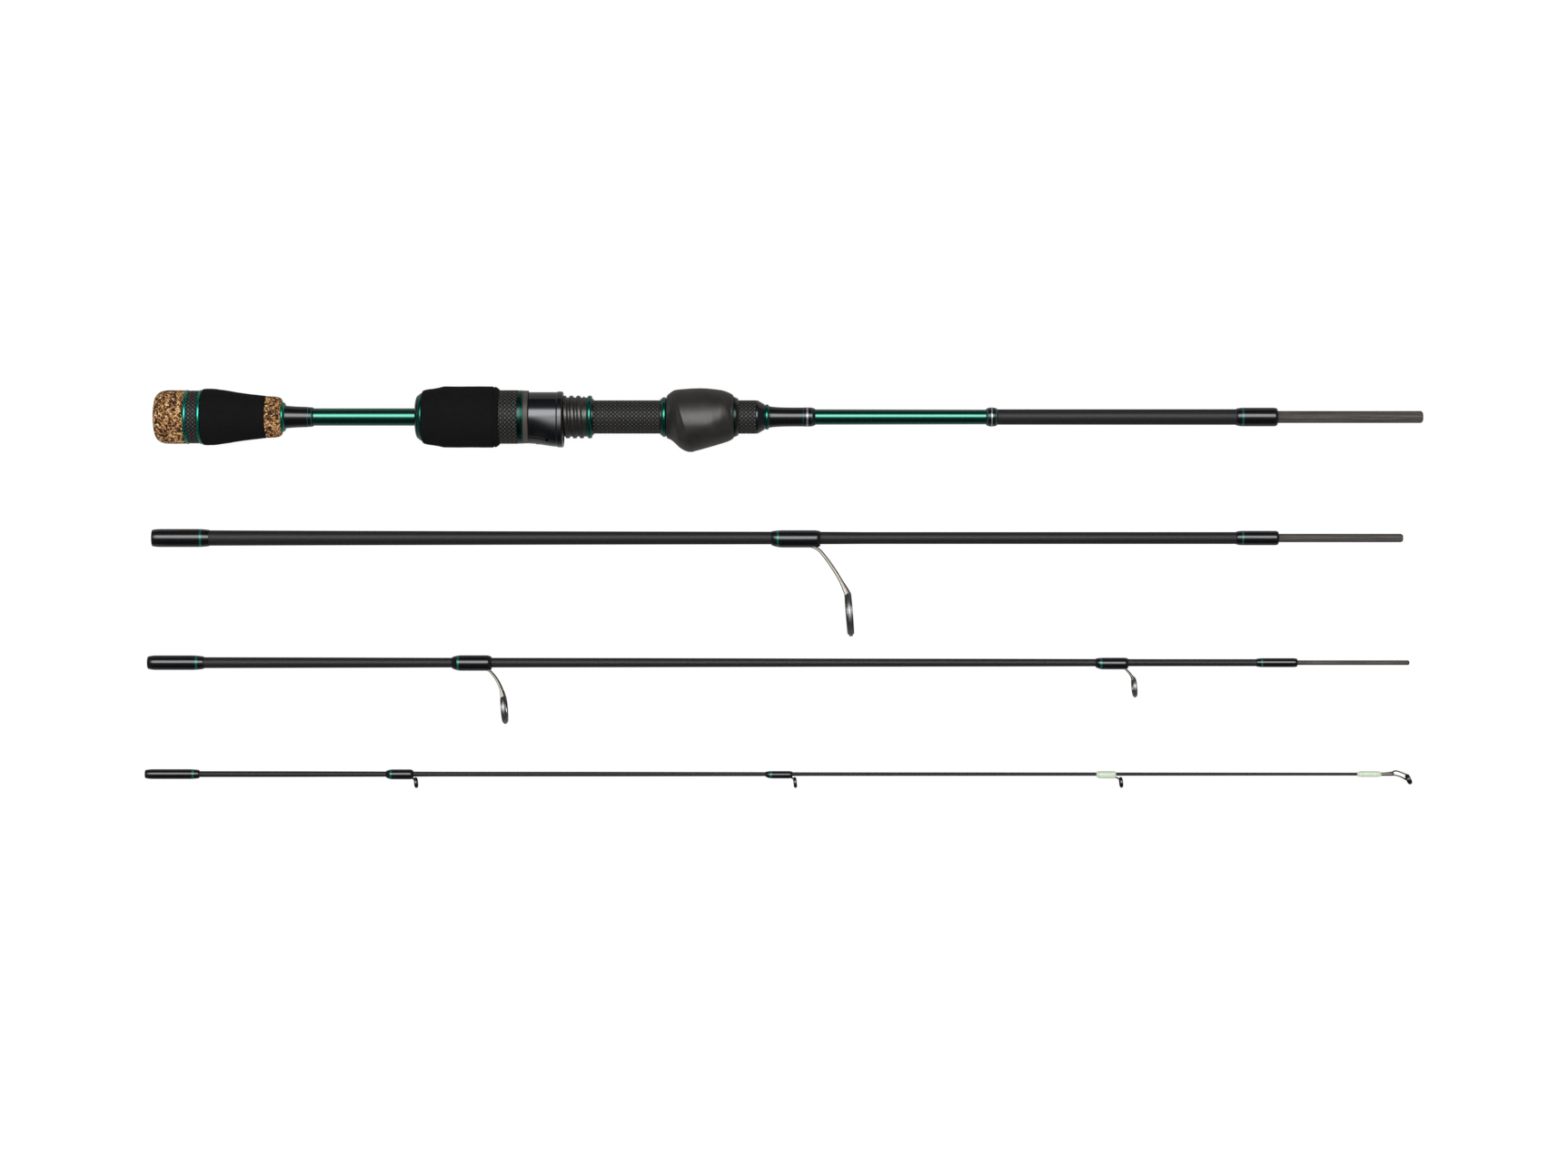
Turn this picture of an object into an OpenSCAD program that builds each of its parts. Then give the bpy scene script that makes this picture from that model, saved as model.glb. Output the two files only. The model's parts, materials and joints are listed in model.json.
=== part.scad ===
// Four-piece spinning rod, laid out in its sections side by side.
// Every rod axis runs along +X, butt to tip. The origin is the centre of the
// butt end face, on the butt section's axis. The guides and the reel's side
// of the seat point along -Y. All lengths are in millimetres.

/* [Layout] */
// Sideways distance from the butt section's axis to section 2
lane_2 = 46.6; // [46:0.1:52]
// Sideways distance from the butt section's axis to section 3
lane_3 = 94.8; // [94:0.1:104]
// Sideways distance from the butt section's axis to section 4
lane_4 = 138.1; // [137.5:0.1:150]
// Height of the butt section's axis above the table it lies on
rest_h = 11.8; // [11.8:0.1:14]
// How far section 2 lies behind the butt end
back_2 = 0.9; // [0:0.1:5]
// How far section 3 lies behind the butt end
back_3 = 3.1; // [0:0.1:5]
// How far section 4 lies behind the butt end
back_4 = 4.7; // [0:0.1:6]

/* [Handle] */
// Radius of the cork butt cap
cap_r = 10.3; // [9.9:0.1:10.6]
// Largest radius of the rear foam grip
grip_r = 10.85; // [10.6:0.05:11.6]
// Radius of the cork collar in front of the rear grip
collar_r = 8.05; // [7.6:0.05:8.4]
// Radius of the lacquered blank through the handle
handle_r = 3.36; // [3.2:0.02:3.4]

/* [Reel seat] */
// Crest radius of the seat's thread
thread_r = 8.26; // [8.1:0.02:8.4]
// Pitch of the seat's thread
thread_pitch = 2.7; // [2.4:0.1:3]
// Depth of the seat's thread
thread_depth = 0.7; // [0.4:0.1:0.9]
// Radial running clearance of the nut and hood on the thread
run_clear = 0.1; // [0.05:0.01:0.1]
// Largest radius of the foam grip on the lock nut
nut_grip_r = 11.8; // [11.2:0.1:11.8]
// Radius of the woven sleeve on the lock nut
nut_sleeve_r = 10.34; // [10:0.02:10.6]
// Radius of the sliding hood's round side
hood_r = 9.6; // [9.4:0.05:9.9]
// How far the sliding hood's pocket reaches from the axis
hood_keel = 11.8; // [11.7:0.05:12.4]
// Radius of the bare seat tube
seat_tube_r = 6.42; // [6.2:0.02:7]
// Largest radius of the foregrip's round side
foregrip_r = 11; // [10.6:0.1:11.3]
// How far the fixed hood's pocket reaches from the axis
foregrip_keel = 14.2; // [13.8:0.1:14.6]

/* [Ferrules] */
// Radius of the spigot on the butt section
spigot_1_r = 2.33; // [2.2:0.01:2.4]
// Radius of the spigot on section 2
spigot_2_r = 1.64; // [1.55:0.01:1.68]
// Radius of the spigot on section 3
spigot_3_r = 0.915; // [0.85:0.005:0.93]
// Length of the butt section's spigot outside the blank
spigot_1_len = 56.1; // [50:0.1:60]
// Length of section 2's spigot outside the blank
spigot_2_len = 48.1; // [44:0.1:52]
// Length of section 3's spigot outside the blank
spigot_3_len = 43.4; // [40:0.1:46]
// Radial clearance between a spigot and its socket
ferrule_clear = 0.03; // [0.01:0.005:0.045]

/* [Guides] */
// Outer radius of the first guide's hoop
guide_1_r = 8.8; // [8.4:0.1:9]
// Outer radius of the second guide's hoop
guide_2_r = 5.8; // [5.4:0.1:6]
// Outer radius of the third guide's hoop
guide_3_r = 3.95; // [3.7:0.05:4.1]
// Outer radius of the three small guides' hoops
small_guide_r = 2.12; // [2:0.02:2.2]
// Outer radius of the tip-top's hoop
tip_top_r = 2.1; // [2:0.02:2.2]

/* [Hidden] */
$fn = 96;
glue = 0.02;               // gap taken up by glue between fixed pieces

cork = "#b08a5e";
foam = "#1d1f20";
green = "#0f7a5c";
black = "#14171a";
weave = "#2b2e30";
thread = "#101214";
carbon = "#2c2e31";
graphite = "#6b6762";
steel = "#c9ccce";
polished = "#aeb3b6";

// Places along the handle, and the bores of its pieces
handle_bore = handle_r + glue;
cap_front = 12.6;
butt_ring_width = 1.3;
band_front = 17.9;
grip_front = 43.6;
collar_front = 49.6;
check_front = 51;
seat_bore = 5.44;
barrel_rear = 114;
barrel_front = 167.3;
tube_rear = 169.75;
tube_front = 195.9;
foregrip_rear = 197.8;
foregrip_front = 223.6;
sleeve_rear = 225.5;
sleeve_front = 232.2;
sleeve_r = 6.44;
front_check_rear = 235.6;
front_wrap_rear = 237.2;
front_band_rear = 250.3;
front_band_front = 255.1;
trim_ring_rear = 320.7;
trim_ring_front = 325.3;

// Lock nut and sliding hood
nut_bore = thread_r + run_clear;
nut_insert_r = 9.3;
nut_shell_bore = nut_insert_r + glue;
nut_end_bore = 3.6;
nut_cap_front = 102.4;
nut_rear = 103.7;
nut_grip_front = 133.5;
nut_front = 140.5;
hood_rear = 144.7;
hood_front = 158;
hood_nose_r = 9.1;         // rounding of the hood's reel side
foregrip_nose_r = 7.6;     // rounding of the foregrip's reel side

// Section lengths, without spigots
len_1 = 433;
len_2 = 434.7;
len_3 = 444.6;
len_4 = 482.5;

// Blank taper charts: distance from the section's rear end, outer radius
chart_1 = [[5, handle_r], [105, handle_r], [237, 3.3], [front_band_front, 2.975],
           [trim_ring_rear, 2.86], [trim_ring_front, 2.975], [len_1, 3.03]];
chart_2 = [[0, 3], [21.9, 2.975], [63.9, 2.835], [134, 2.64], [204, 2.5],
           [258, 2.41], [275, 2.31], [len_2, 2.31]];
chart_3 = [[0, 2.15], [21.5, 2.13], [48, 2.08], [84, 1.995], [111.5, 1.9],
           [139.6, 1.87], [188.8, 1.8], [259, 1.63], [329.4, 1.52],
           [385.6, 1.38], [len_3, 1.36]];
chart_4 = [[0, 1.42], [20.8, 1.42], [21.2, 1.16], [53, 1.14], [88, 1.05],
           [116.3, 0.94], [180, 0.905], [236, 0.805], [257, 0.72],
           [314, 0.7], [391, 0.64], [433, 0.6], [len_4, 0.57]];

// Ferrule windings: start, end, radius, trim band place
winding_1 = [417.3, len_1, 3.6, 419.6];
winding_2_rear = [0.3, 21.6, 3.5, 18.9];
winding_2_front = [418.5, len_2, 2.79, 420.9];
winding_3_rear = [0.3, 21.5, 2.84, 19];
winding_3_front = [428.9, len_3, 1.74, 430.6];
winding_4 = [0.3, 20.8, 1.92, 18.6];

band_half = 0.44;          // half the width of a trim band
band_gap_half = 0.45;      // half the gap a winding leaves for it

// Guides, three rows each:
//   wrap: start, end, radius, offset along y, trim band place (0 for none)
//   leg:  [start x, y], radius, foot width, landing angle on the hoop
//   hoop: [centre x, y], outer radius, tilt, width, wall, insert width, insert wall
guide_1 = [[239, 257.9, 3.35, -0.34, 241.5],
           [[255.2, -2.86], 0.62, 2.6, 34],
           [[269.1, -29.2], guide_1_r, 4.5, 1.5, 0.75, 2.6, 0.85]];
guide_2 = [[117.7, 133, 3.02, -0.12, 120.1],
           [[131.3, -2.24], 0.46, 2, 34],
           [[137.9, -17.9], guide_2_r, 4.7, 1.2, 0.55, 2.1, 0.65]];
guide_3 = [[366.6, 379.2, 2.28, -0.33, 368.7],
           [[377.2, -1.78], 0.36, 1.6, 38],
           [[381.6, -9.5], guide_3_r, 5, 1, 0.45, 1.7, 0.5]];
function small_guide(wrap, leg_start, centre) =
  [wrap, [leg_start, 0.26, 1.1, 62], [centre, small_guide_r, 6, 0.8, 0.3, 1.3, 0.35]];
guide_4 = small_guide([93.4, 104, 1.95, -0.1, 95.3], [103, -1.38], [105, -3.3]);
guide_5 = small_guide([240.5, 251, 1.45, -0.25, 242.6], [250, -1.12], [252, -3.25]);
guide_6 = small_guide([368.8, 376.4, 1.42, -0.25, 0], [375.6, -1.02], [378.4, -3.2]);
small_guides = [guide_4, guide_5, guide_6];

// Tip-top
tip_tube_r = 0.62;         // bore radius of the tube
tip_tube_wall = 0.11;
tip_centre = [489.9, -2];
tip_tilt = 24;
tip_hoop_wall = 0.32;

NODES = ["butt_blank", "butt_cap", "butt_trim_rings", "butt_band",
         "rear_grip", "grip_collar", "rear_winding_check", "rear_wrap",
         "seat_arbors", "seat_barrel", "barrel_end_ring", "seat_tube",
         "seat_front_ring", "foregrip", "foregrip_end_ring", "front_sleeve",
         "front_taper_ring", "front_winding_check", "front_wrap",
         "front_wrap_band", "blank_trim_ring", "ferrule_wrap_1",
         "trim_band_1", "spigot_1",
         "hood", "hood_washer",
         "nut_insert", "nut_grip", "nut_end_cap", "nut_end_ring",
         "nut_sleeve", "nut_front_ring",
         "blank_2", "ferrule_wrap_2_rear", "ferrule_wrap_2_front",
         "trim_bands_2", "spigot_2",
         "guide_1_wrap", "guide_1_frame", "guide_1_ring",
         "blank_3", "ferrule_wraps_3", "trim_bands_3", "spigot_3",
         "guide_wraps_3", "guide_2_frame", "guide_2_ring", "guide_3_frame",
         "guide_3_ring",
         "blank_4", "socket_wrap_4", "trim_bands_4", "guide_wraps_4",
         "glow_wraps", "small_guide_frames", "small_guide_rings",
         "tip_top_frame", "tip_top_ring"];
node = "all";

// ---------- shared shapes ----------

// A solid of revolution about the X axis; points are [radius, x]
module lathe(points) rotate([0, 90, 0]) rotate_extrude() polygon(points);

module disc(start, end, radius)
  translate([start, 0, 0]) rotate([0, 90, 0]) cylinder(h = end - start, r = radius);

module ring(start, end, radius, bore)
  lathe([[bore, start], [radius, start], [radius, end], [bore, end]]);

// A ring with small rounded edges
module soft_ring(start, end, radius, bore, edge) {
  corner = 0.3 * edge;
  lathe([[bore, start], [radius - edge, start], [radius - corner, start + corner],
         [radius, start + edge], [radius, end - edge],
         [radius - corner, end - corner], [radius - edge, end], [bore, end]]);
}

// A round bar between two points
module bar(from, to, radius) {
  span = to - from;
  length = norm(span);
  translate(from) rotate([0, acos(span.z / length), atan2(span.y, span.x)])
    cylinder(h = length, r = radius);
}

// Each guided section lies with its largest hoop on the table
module at_2() translate([-back_2, -lane_2, guide_1_r - rest_h]) children();
module at_3() translate([-back_3, -lane_3, guide_2_r - rest_h]) children();
module at_4() translate([-back_4, -lane_4, small_guide_r - rest_h]) children();

// Outer radius of a blank, with the glue gap
function glued_r(chart, x) = lookup(x, chart) + glue;

// A hollow blank from its taper chart; bore points run from front to rear
module blank(chart, bore) lathe(concat([for (station = chart) [station[1], station[0]]], bore));

// Bore points: a front bore back to front_end, then a socket from the rear end
function socket_bore(length, front_r, front_end, socket_r, depth) =
  [[front_r, length], [front_r, front_end], [socket_r, depth], [socket_r, 0]];

// Thread winding under resin, on a round blank: the ends run down to the blank
module winding(chart, start, end, radius) {
  rear = glued_r(chart, start);
  front = glued_r(chart, end);
  run = min(1.6, (end - start) / 6);
  lathe([[rear, start], [rear + 0.35 * (radius - rear), start],
         [radius - 0.15 * (radius - rear), start + 0.45 * run],
         [radius, start + run], [radius, end - run],
         [radius - 0.15 * (radius - front), end - 0.45 * run],
         [front + 0.35 * (radius - front), end], [front, end]]);
}

module band_gap(x, radius) disc(x - band_gap_half, x + band_gap_half, radius);

// A ferrule winding with a gap left for its metallic trim band
module banded_winding(chart, spec)
  difference() {
    winding(chart, spec[0], spec[1], spec[2]);
    band_gap(spec[3], spec[2] + 1);
  }

module trim_band(chart, x, radius, y = 0)
  difference() {
    translate([0, y, 0]) disc(x - band_half, x + band_half, radius);
    disc(x - 1, x + 1, glued_r(chart, x - 0.5));
  }

// The band stands slightly proud of a ferrule winding
module winding_band(chart, spec) trim_band(chart, spec[3], spec[2] + 0.03);

// A graphite spigot glued into the front of a blank, with a glue groove at
// the blank's mouth and a chamfered end
module spigot(rear, mouth, front, radius) {
  groove_r = radius - 0.22;
  lathe([[0, rear], [radius - 0.2, rear], [radius, rear + 0.4],
         [radius, mouth - 0.8], [groove_r, mouth - 0.7],
         [groove_r, mouth + 0.3], [radius, mouth + 0.4],
         [radius, front - 0.6], [radius * 0.72, front], [0, front]]);
}

// ---------- guides ----------

function wrap_start(guide) = guide[0][0];
function wrap_end(guide) = guide[0][1];
function wrap_r(guide) = guide[0][2];
function wrap_y(guide) = guide[0][3];
function band_x(guide) = guide[0][4];
function hoop_centre(guide) = guide[2][0];
function hoop_r(guide) = guide[2][1];
function hoop_tilt(guide) = guide[2][2];
function hoop_wall(guide) = guide[2][4];

// Puts a shape made about the X axis at a hoop's centre, tilted
module at_hoop(centre, tilt)
  translate([centre.x, centre.y, 0]) rotate([0, 0, tilt]) children();

// The foot under the winding and the two legs out to the hoop
module guide_legs(guide, chart, grow = 0) {
  leg = guide[1];
  start = leg[0];
  leg_r = leg[1];
  foot_width = leg[2];
  angle = leg[3];
  centre = hoop_centre(guide);
  tilt = hoop_tilt(guide);
  blank_r = glued_r(chart, wrap_start(guide) + 4);
  foot_t = 0.45;
  foot_x = wrap_start(guide) + (wrap_end(guide) - wrap_start(guide)) * 0.3;
  translate([foot_x - grow, -blank_r - foot_t - grow, -foot_width / 2 - grow])
    cube([start.x - foot_x + 0.3 + grow, foot_t + grow, foot_width + 2 * grow]);
  landing_r = hoop_r(guide) - 0.55 * hoop_wall(guide);
  drop = landing_r * cos(angle);
  for (side = [-1, 1]) {
    from = [start.x, min(start.y, -blank_r - leg_r - 0.02), side * (foot_width / 2 - leg_r)];
    to = [centre.x - sin(tilt) * drop, centre.y + cos(tilt) * drop,
          side * landing_r * sin(angle)];
    bar(from, to, leg_r + grow);
    translate(from) sphere(r = leg_r + grow);
  }
}

module guide_frame(guide, chart) {
  width = guide[2][3];
  difference() {
    union() {
      guide_legs(guide, chart);
      at_hoop(hoop_centre(guide), hoop_tilt(guide)) disc(-width / 2, width / 2, hoop_r(guide));
    }
    at_hoop(hoop_centre(guide), hoop_tilt(guide)) disc(-4, 4, hoop_r(guide) - hoop_wall(guide));
  }
}

// The polished ring pressed into the hoop
module guide_insert(guide) {
  wall = guide[2][6];
  outer = hoop_r(guide) - hoop_wall(guide) - glue;
  inner = outer - wall;
  half = guide[2][5] / 2;
  edge = wall * 0.4;
  at_hoop(hoop_centre(guide), hoop_tilt(guide))
    lathe([[inner, -half + edge], [inner + edge, -half],
           [outer - edge, -half], [outer, -half + edge],
           [outer, half - edge], [outer - edge, half],
           [inner + edge, half], [inner, half - edge]]);
}

// The winding over a guide's foot, hollowed for the blank, foot and legs
module guide_wrap(guide, chart) {
  start = wrap_start(guide);
  end = wrap_end(guide);
  radius = wrap_r(guide);
  run = 1.3;
  rear = lookup(start, chart) + 0.2 + abs(wrap_y(guide));
  front = lookup(end, chart) + 0.2 + abs(wrap_y(guide));
  difference() {
    translate([0, wrap_y(guide), 0])
      lathe([[0, start], [rear, start], [rear + 0.7 * (radius - rear), start + 0.5 * run],
             [radius, start + run], [radius, end - 1.6 * run],
             [front + 0.7 * (radius - front), end - 0.8 * run], [front, end], [0, end]]);
    disc(start - 1, end + 1, glued_r(chart, start));
    guide_legs(guide, chart, 0.03);
    if (band_x(guide) > 0) band_gap(band_x(guide), radius + 2);
  }
}

module guide_band(guide, chart)
  trim_band(chart, band_x(guide), wrap_r(guide) - 0.05, wrap_y(guide));

// ---------- butt section ----------
// Outlines are lists of [radius, x]

module butt_blank() color("#24503f")
  blank(chart_1, [[spigot_1_r + glue, len_1], [spigot_1_r + glue, 5]]);

module butt_cap() color(cork)
  lathe([[0, 0], [3.2, 0], [5.6, 0.5], [7.4, 1.05], [8.3, 1.5], [9.2, 2.3],
         [cap_r - 0.45, 3.5], [cap_r - 0.1, 5], [cap_r, 7.5], [cap_r, cap_front],
         [handle_bore, cap_front], [handle_bore, 4.9], [0, 4.9]]);

module butt_trim_rings() color(green)
  for (x = [cap_front, band_front])
    soft_ring(x, x + butt_ring_width, cap_r + 0.05, handle_bore, 0.2);

module butt_band() color(weave)
  ring(cap_front + butt_ring_width, band_front, cap_r - 0.15, handle_bore);

module rear_grip() color(foam) {
  rear = band_front + butt_ring_width;
  lathe([[handle_bore, rear], [grip_r - 0.3, rear], [grip_r, 19.6], [grip_r, 23.6],
         [grip_r - 0.2, 25.2], [grip_r - 0.65, 28.5], [9.56, 32], [9.1, 35.5],
         [8.63, 39], [8.2, 43], [collar_r, grip_front], [handle_bore, grip_front]]);
}

module grip_collar() color(cork) {
  rear = grip_front + 0.1;
  lathe([[handle_bore, rear], [collar_r, rear], [collar_r - 0.2, 47.6],
         [collar_r - 0.5, 48.8], [collar_r - 1.2, collar_front],
         [handle_bore, collar_front]]);
}

module rear_winding_check() color(green)
  soft_ring(collar_front, check_front, 5.78, handle_bore, 0.3);

module rear_wrap() color(thread)
  lathe([[handle_bore, check_front], [4.3, check_front], [4.22, 52.6], [3.95, 58],
         [3.87, 59.6], [3.66, 60.2], [3.6, 61.2], [3.45, 61.7], [handle_bore, 61.7]]);

// Six equal bushes that centre the seat on the thinner blank
module seat_arbors() color("#d8d2bf")
  for (x = [118, 152, 174, 186, 203, 215]) ring(x, x + 6, 5.4, handle_bore);

// The thread is a row of plain ridges, without a helix
module seat_barrel() color("#3a3d3f") {
  root_r = thread_r - thread_depth;
  first_ridge = barrel_rear + 2.2;
  ridges = floor((barrel_front - barrel_rear - 3) / thread_pitch);
  // One ridge: radius, place as a share of the pitch
  ridge = [[root_r, 0.08], [thread_r, 0.3], [thread_r, 0.62], [root_r, 0.84]];
  lathe(concat([[seat_bore, barrel_rear], [root_r, barrel_rear]],
    [for (i = [0 : ridges - 1], point = ridge)
      [point[0], first_ridge + thread_pitch * (i + point[1])]],
    [[root_r, barrel_front], [seat_bore, barrel_front]]));
}

module barrel_end_ring() color(green)
  lathe([[seat_bore, barrel_front], [8.05, barrel_front], [8.25, 167.6], [8.2, 168.4],
         [7.85, 169.15], [7, 169.2], [7, tube_rear], [seat_bore, tube_rear]]);

module seat_tube() color(weave)
  ring(tube_rear, tube_front, seat_tube_r, seat_bore);

module seat_front_ring() color(green)
  soft_ring(tube_front, foregrip_rear, 7.6, seat_bore, 0.35);

// The fixed hood: a moulded grip with the reel foot's front pocket on its -Y side
module foregrip() color("#3b3a38")
  difference() {
    hull() {
      translate([0, -0.2, 0]) disc(foregrip_rear, 198.2, 8.1, $fn = 40);
      translate([0, 0.15, 0]) disc(200.8, 201.2, 10, $fn = 40);
      disc(205.7, 206.1, foregrip_r - 0.3, $fn = 40);
      disc(210.5, 211, foregrip_r, $fn = 40);
      translate([0, -0.1, 0]) disc(217.9, 218.3, foregrip_r - 0.45, $fn = 40);
      translate([0, -0.35, 0]) disc(223.3, foregrip_front, 8.8, $fn = 40);
      translate([0, foregrip_nose_r - foregrip_keel, 0])
        disc(205.9, 208.1, foregrip_nose_r, $fn = 40);
    }
    disc(190, 230, seat_bore);
    intersection() {
      translate([0, 10.5 - foregrip_keel, 0]) disc(190, 212, 6.6);
      translate([180, -20, -10]) cube([40, 11.7, 20]);
    }
  }

module foregrip_end_ring() color(black)
  lathe([[seat_bore, foregrip_front], [7.6, foregrip_front], [7.6, 224.4], [7.4, 224.7],
         [7.2, sleeve_rear], [seat_bore, sleeve_rear]]);

module front_sleeve() color(weave)
  ring(sleeve_rear, sleeve_front, sleeve_r, handle_bore);

module front_taper_ring() color(black)
  lathe([[handle_bore, sleeve_front], [sleeve_r, sleeve_front], [6.3, 233], [5.3, 234.6],
         [4.6, front_check_rear], [handle_bore, front_check_rear]]);

module front_winding_check() color(green)
  soft_ring(front_check_rear, front_wrap_rear, 4.66, handle_bore, 0.3);

module front_wrap() color(thread)
  lathe([[3.32, front_wrap_rear], [4.1, front_wrap_rear], [3.86, 239.5], [3.68, 243],
         [3.6, 247], [3.6, front_band_rear], [3.08, front_band_rear]]);

module front_wrap_band() color("#9aa3a5")
  lathe([[3.08, front_band_rear], [3.66, front_band_rear], [3.66, 254.3], [3.4, 254.9],
         [3.12, front_band_front], [3.08, front_band_front]]);

module blank_trim_ring() color(green)
  lathe([[3, trim_ring_rear], [3.4, trim_ring_rear], [3.68, 321.5], [3.68, 324.5],
         [3.4, trim_ring_front], [3, trim_ring_front]]);

module ferrule_wrap_1() color(thread) banded_winding(chart_1, winding_1);
module trim_band_1() color(green) winding_band(chart_1, winding_1);
module spigot_1() color(graphite) spigot(385, len_1, len_1 + spigot_1_len, spigot_1_r);

// ---------- sliding hood ----------

module hood() color("#0c0d0f")
  difference() {
    hull() {
      disc(hood_rear, hood_front, hood_r, $fn = 48);
      translate([0, -1.5, 0]) disc(hood_rear, 147, hood_nose_r, $fn = 48);
      translate([0, hood_nose_r - hood_keel, 0])
        disc(hood_front - 2.1, hood_front, hood_nose_r, $fn = 48);
    }
    disc(140, 170, nut_bore);
    translate([0, hood_nose_r - hood_keel, 0]) disc(147.6, 170, 7.9);
  }

module hood_washer() color("#5d554e") ring(142.84, hood_rear, 10.15, nut_bore);

// ---------- lock nut ----------

module nut_insert() color("#4a4d50") ring(nut_rear, nut_front, nut_insert_r, nut_bore);

module nut_grip() color(foam)
  lathe([[nut_shell_bore, nut_rear], [10.05, nut_rear], [10.6, 105.5], [11.1, 109],
         [nut_grip_r - 0.4, 111], [nut_grip_r, 112.1], [nut_grip_r, 131.2],
         [nut_grip_r - 0.35, 131.35], [nut_grip_r - 0.35, 131.7], [nut_grip_r - 0.1, 131.85],
         [10.7, nut_grip_front], [nut_shell_bore, nut_grip_front]]);

module nut_end_cap() color(black)
  lathe([[nut_end_bore, 101.1], [7.2, 101.1], [8, 101.35], [8.4, nut_cap_front],
         [nut_end_bore, nut_cap_front]]);

module nut_end_ring() color(green)
  soft_ring(nut_cap_front, nut_rear, 8.95, nut_end_bore, 0.25);

module nut_sleeve() color(weave)
  ring(nut_grip_front, nut_front, nut_sleeve_r, nut_shell_bore);

module nut_front_ring() color("#0b4a39") soft_ring(nut_front, 142.8, 10.26, nut_bore, 0.2);

// ---------- section 2 ----------

module blank_2() color(carbon) at_2()
  blank(chart_2, socket_bore(len_2, spigot_2_r + glue, 72, spigot_1_r + ferrule_clear, 60));

module ferrule_wrap_2_rear() color(thread) at_2() banded_winding(chart_2, winding_2_rear);
module ferrule_wrap_2_front() color(thread) at_2() banded_winding(chart_2, winding_2_front);

module trim_bands_2() color(green) at_2() {
  winding_band(chart_2, winding_2_rear);
  winding_band(chart_2, winding_2_front);
  guide_band(guide_1, chart_2);
}

module spigot_2() color(graphite) at_2()
  spigot(388, len_2, len_2 + spigot_2_len, spigot_2_r);

module guide_1_wrap() color(thread) at_2() guide_wrap(guide_1, chart_2);
module guide_1_frame() color(steel) at_2() guide_frame(guide_1, chart_2);
module guide_1_ring() color(polished) at_2() guide_insert(guide_1);

// ---------- section 3 ----------

module blank_3() color(carbon) at_3()
  blank(chart_3, socket_bore(len_3, spigot_3_r + glue, 62, spigot_2_r + ferrule_clear, 52));

module ferrule_wraps_3() color(thread) at_3()
  for (spec = [winding_3_rear, winding_3_front]) banded_winding(chart_3, spec);

module trim_bands_3() color(green) at_3() {
  for (spec = [winding_3_rear, winding_3_front]) winding_band(chart_3, spec);
  for (guide = [guide_2, guide_3]) guide_band(guide, chart_3);
}

module spigot_3() color(graphite) at_3()
  spigot(400, len_3, len_3 + spigot_3_len, spigot_3_r);

module guide_wraps_3() color(thread) at_3()
  for (guide = [guide_2, guide_3]) guide_wrap(guide, chart_3);

module guide_2_frame() color(steel) at_3() guide_frame(guide_2, chart_3);
module guide_2_ring() color(polished) at_3() guide_insert(guide_2);
module guide_3_frame() color(steel) at_3() guide_frame(guide_3, chart_3);
module guide_3_ring() color(polished) at_3() guide_insert(guide_3);

// ---------- section 4 ----------

// The tip blank is solid in front of its socket
module blank_4() color(carbon) at_4()
  blank(chart_4, socket_bore(len_4, 0, 46, spigot_3_r + ferrule_clear, 46));

module socket_wrap_4() color(thread) at_4() banded_winding(chart_4, winding_4);

module trim_bands_4() color(green) at_4() {
  winding_band(chart_4, winding_4);
  for (guide = [guide_4, guide_5]) guide_band(guide, chart_4);
}

module guide_wraps_4() color(thread) at_4()
  for (guide = [guide_4, guide_5]) guide_wrap(guide, chart_4);

// The pale windings: on the last guide, and at the tip-top's tube
module glow_wraps() color("#dbe8cf") at_4() {
  guide_wrap(guide_6, chart_4);
  difference() {
    winding(chart_4, 469.9, 479.2, 1.1);
    disc(474, 480, tip_tube_r + tip_tube_wall + glue);
  }
}

module small_guide_frames() color(steel) at_4()
  for (guide = small_guides) guide_frame(guide, chart_4);

module small_guide_rings() color(polished) at_4()
  for (guide = small_guides) guide_insert(guide);

// A tube over the blank's end, two pairs of arms and the last hoop
module tip_top_frame() color(steel) at_4()
  difference() {
    union() {
      disc(474.2, 484, tip_tube_r + tip_tube_wall);
      for (side = [-1, 1]) {
        bar([483.2, 0.35, side * 0.2], [489.2, -0.4, side * 1.3], 0.24);
        bar([483.4, -0.3, side * 0.15], [489.6, -2.5, side * 1.85], 0.22);
      }
      at_hoop(tip_centre, tip_tilt) disc(-0.5, 0.5, tip_top_r);
    }
    disc(474, 483, tip_tube_r);
    at_hoop(tip_centre, tip_tilt) disc(-2.2, 2.2, tip_top_r - tip_hoop_wall);
  }

module tip_top_ring() color("#4a4648") at_4() {
  outer = tip_top_r - tip_hoop_wall - glue;
  at_hoop(tip_centre, tip_tilt)
    lathe([[outer - 0.42, -0.5], [outer - 0.22, -0.75], [outer, -0.6], [outer, 0.6],
           [outer - 0.22, 0.75], [outer - 0.42, 0.5]]);
}

// ---------- the model ----------

function on(name) = node == "all" || node == name;

if (on("butt_blank")) butt_blank();
if (on("butt_cap")) butt_cap();
if (on("butt_trim_rings")) butt_trim_rings();
if (on("butt_band")) butt_band();
if (on("rear_grip")) rear_grip();
if (on("grip_collar")) grip_collar();
if (on("rear_winding_check")) rear_winding_check();
if (on("rear_wrap")) rear_wrap();
if (on("seat_arbors")) seat_arbors();
if (on("seat_barrel")) seat_barrel();
if (on("barrel_end_ring")) barrel_end_ring();
if (on("seat_tube")) seat_tube();
if (on("seat_front_ring")) seat_front_ring();
if (on("foregrip")) foregrip();
if (on("foregrip_end_ring")) foregrip_end_ring();
if (on("front_sleeve")) front_sleeve();
if (on("front_taper_ring")) front_taper_ring();
if (on("front_winding_check")) front_winding_check();
if (on("front_wrap")) front_wrap();
if (on("front_wrap_band")) front_wrap_band();
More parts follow.
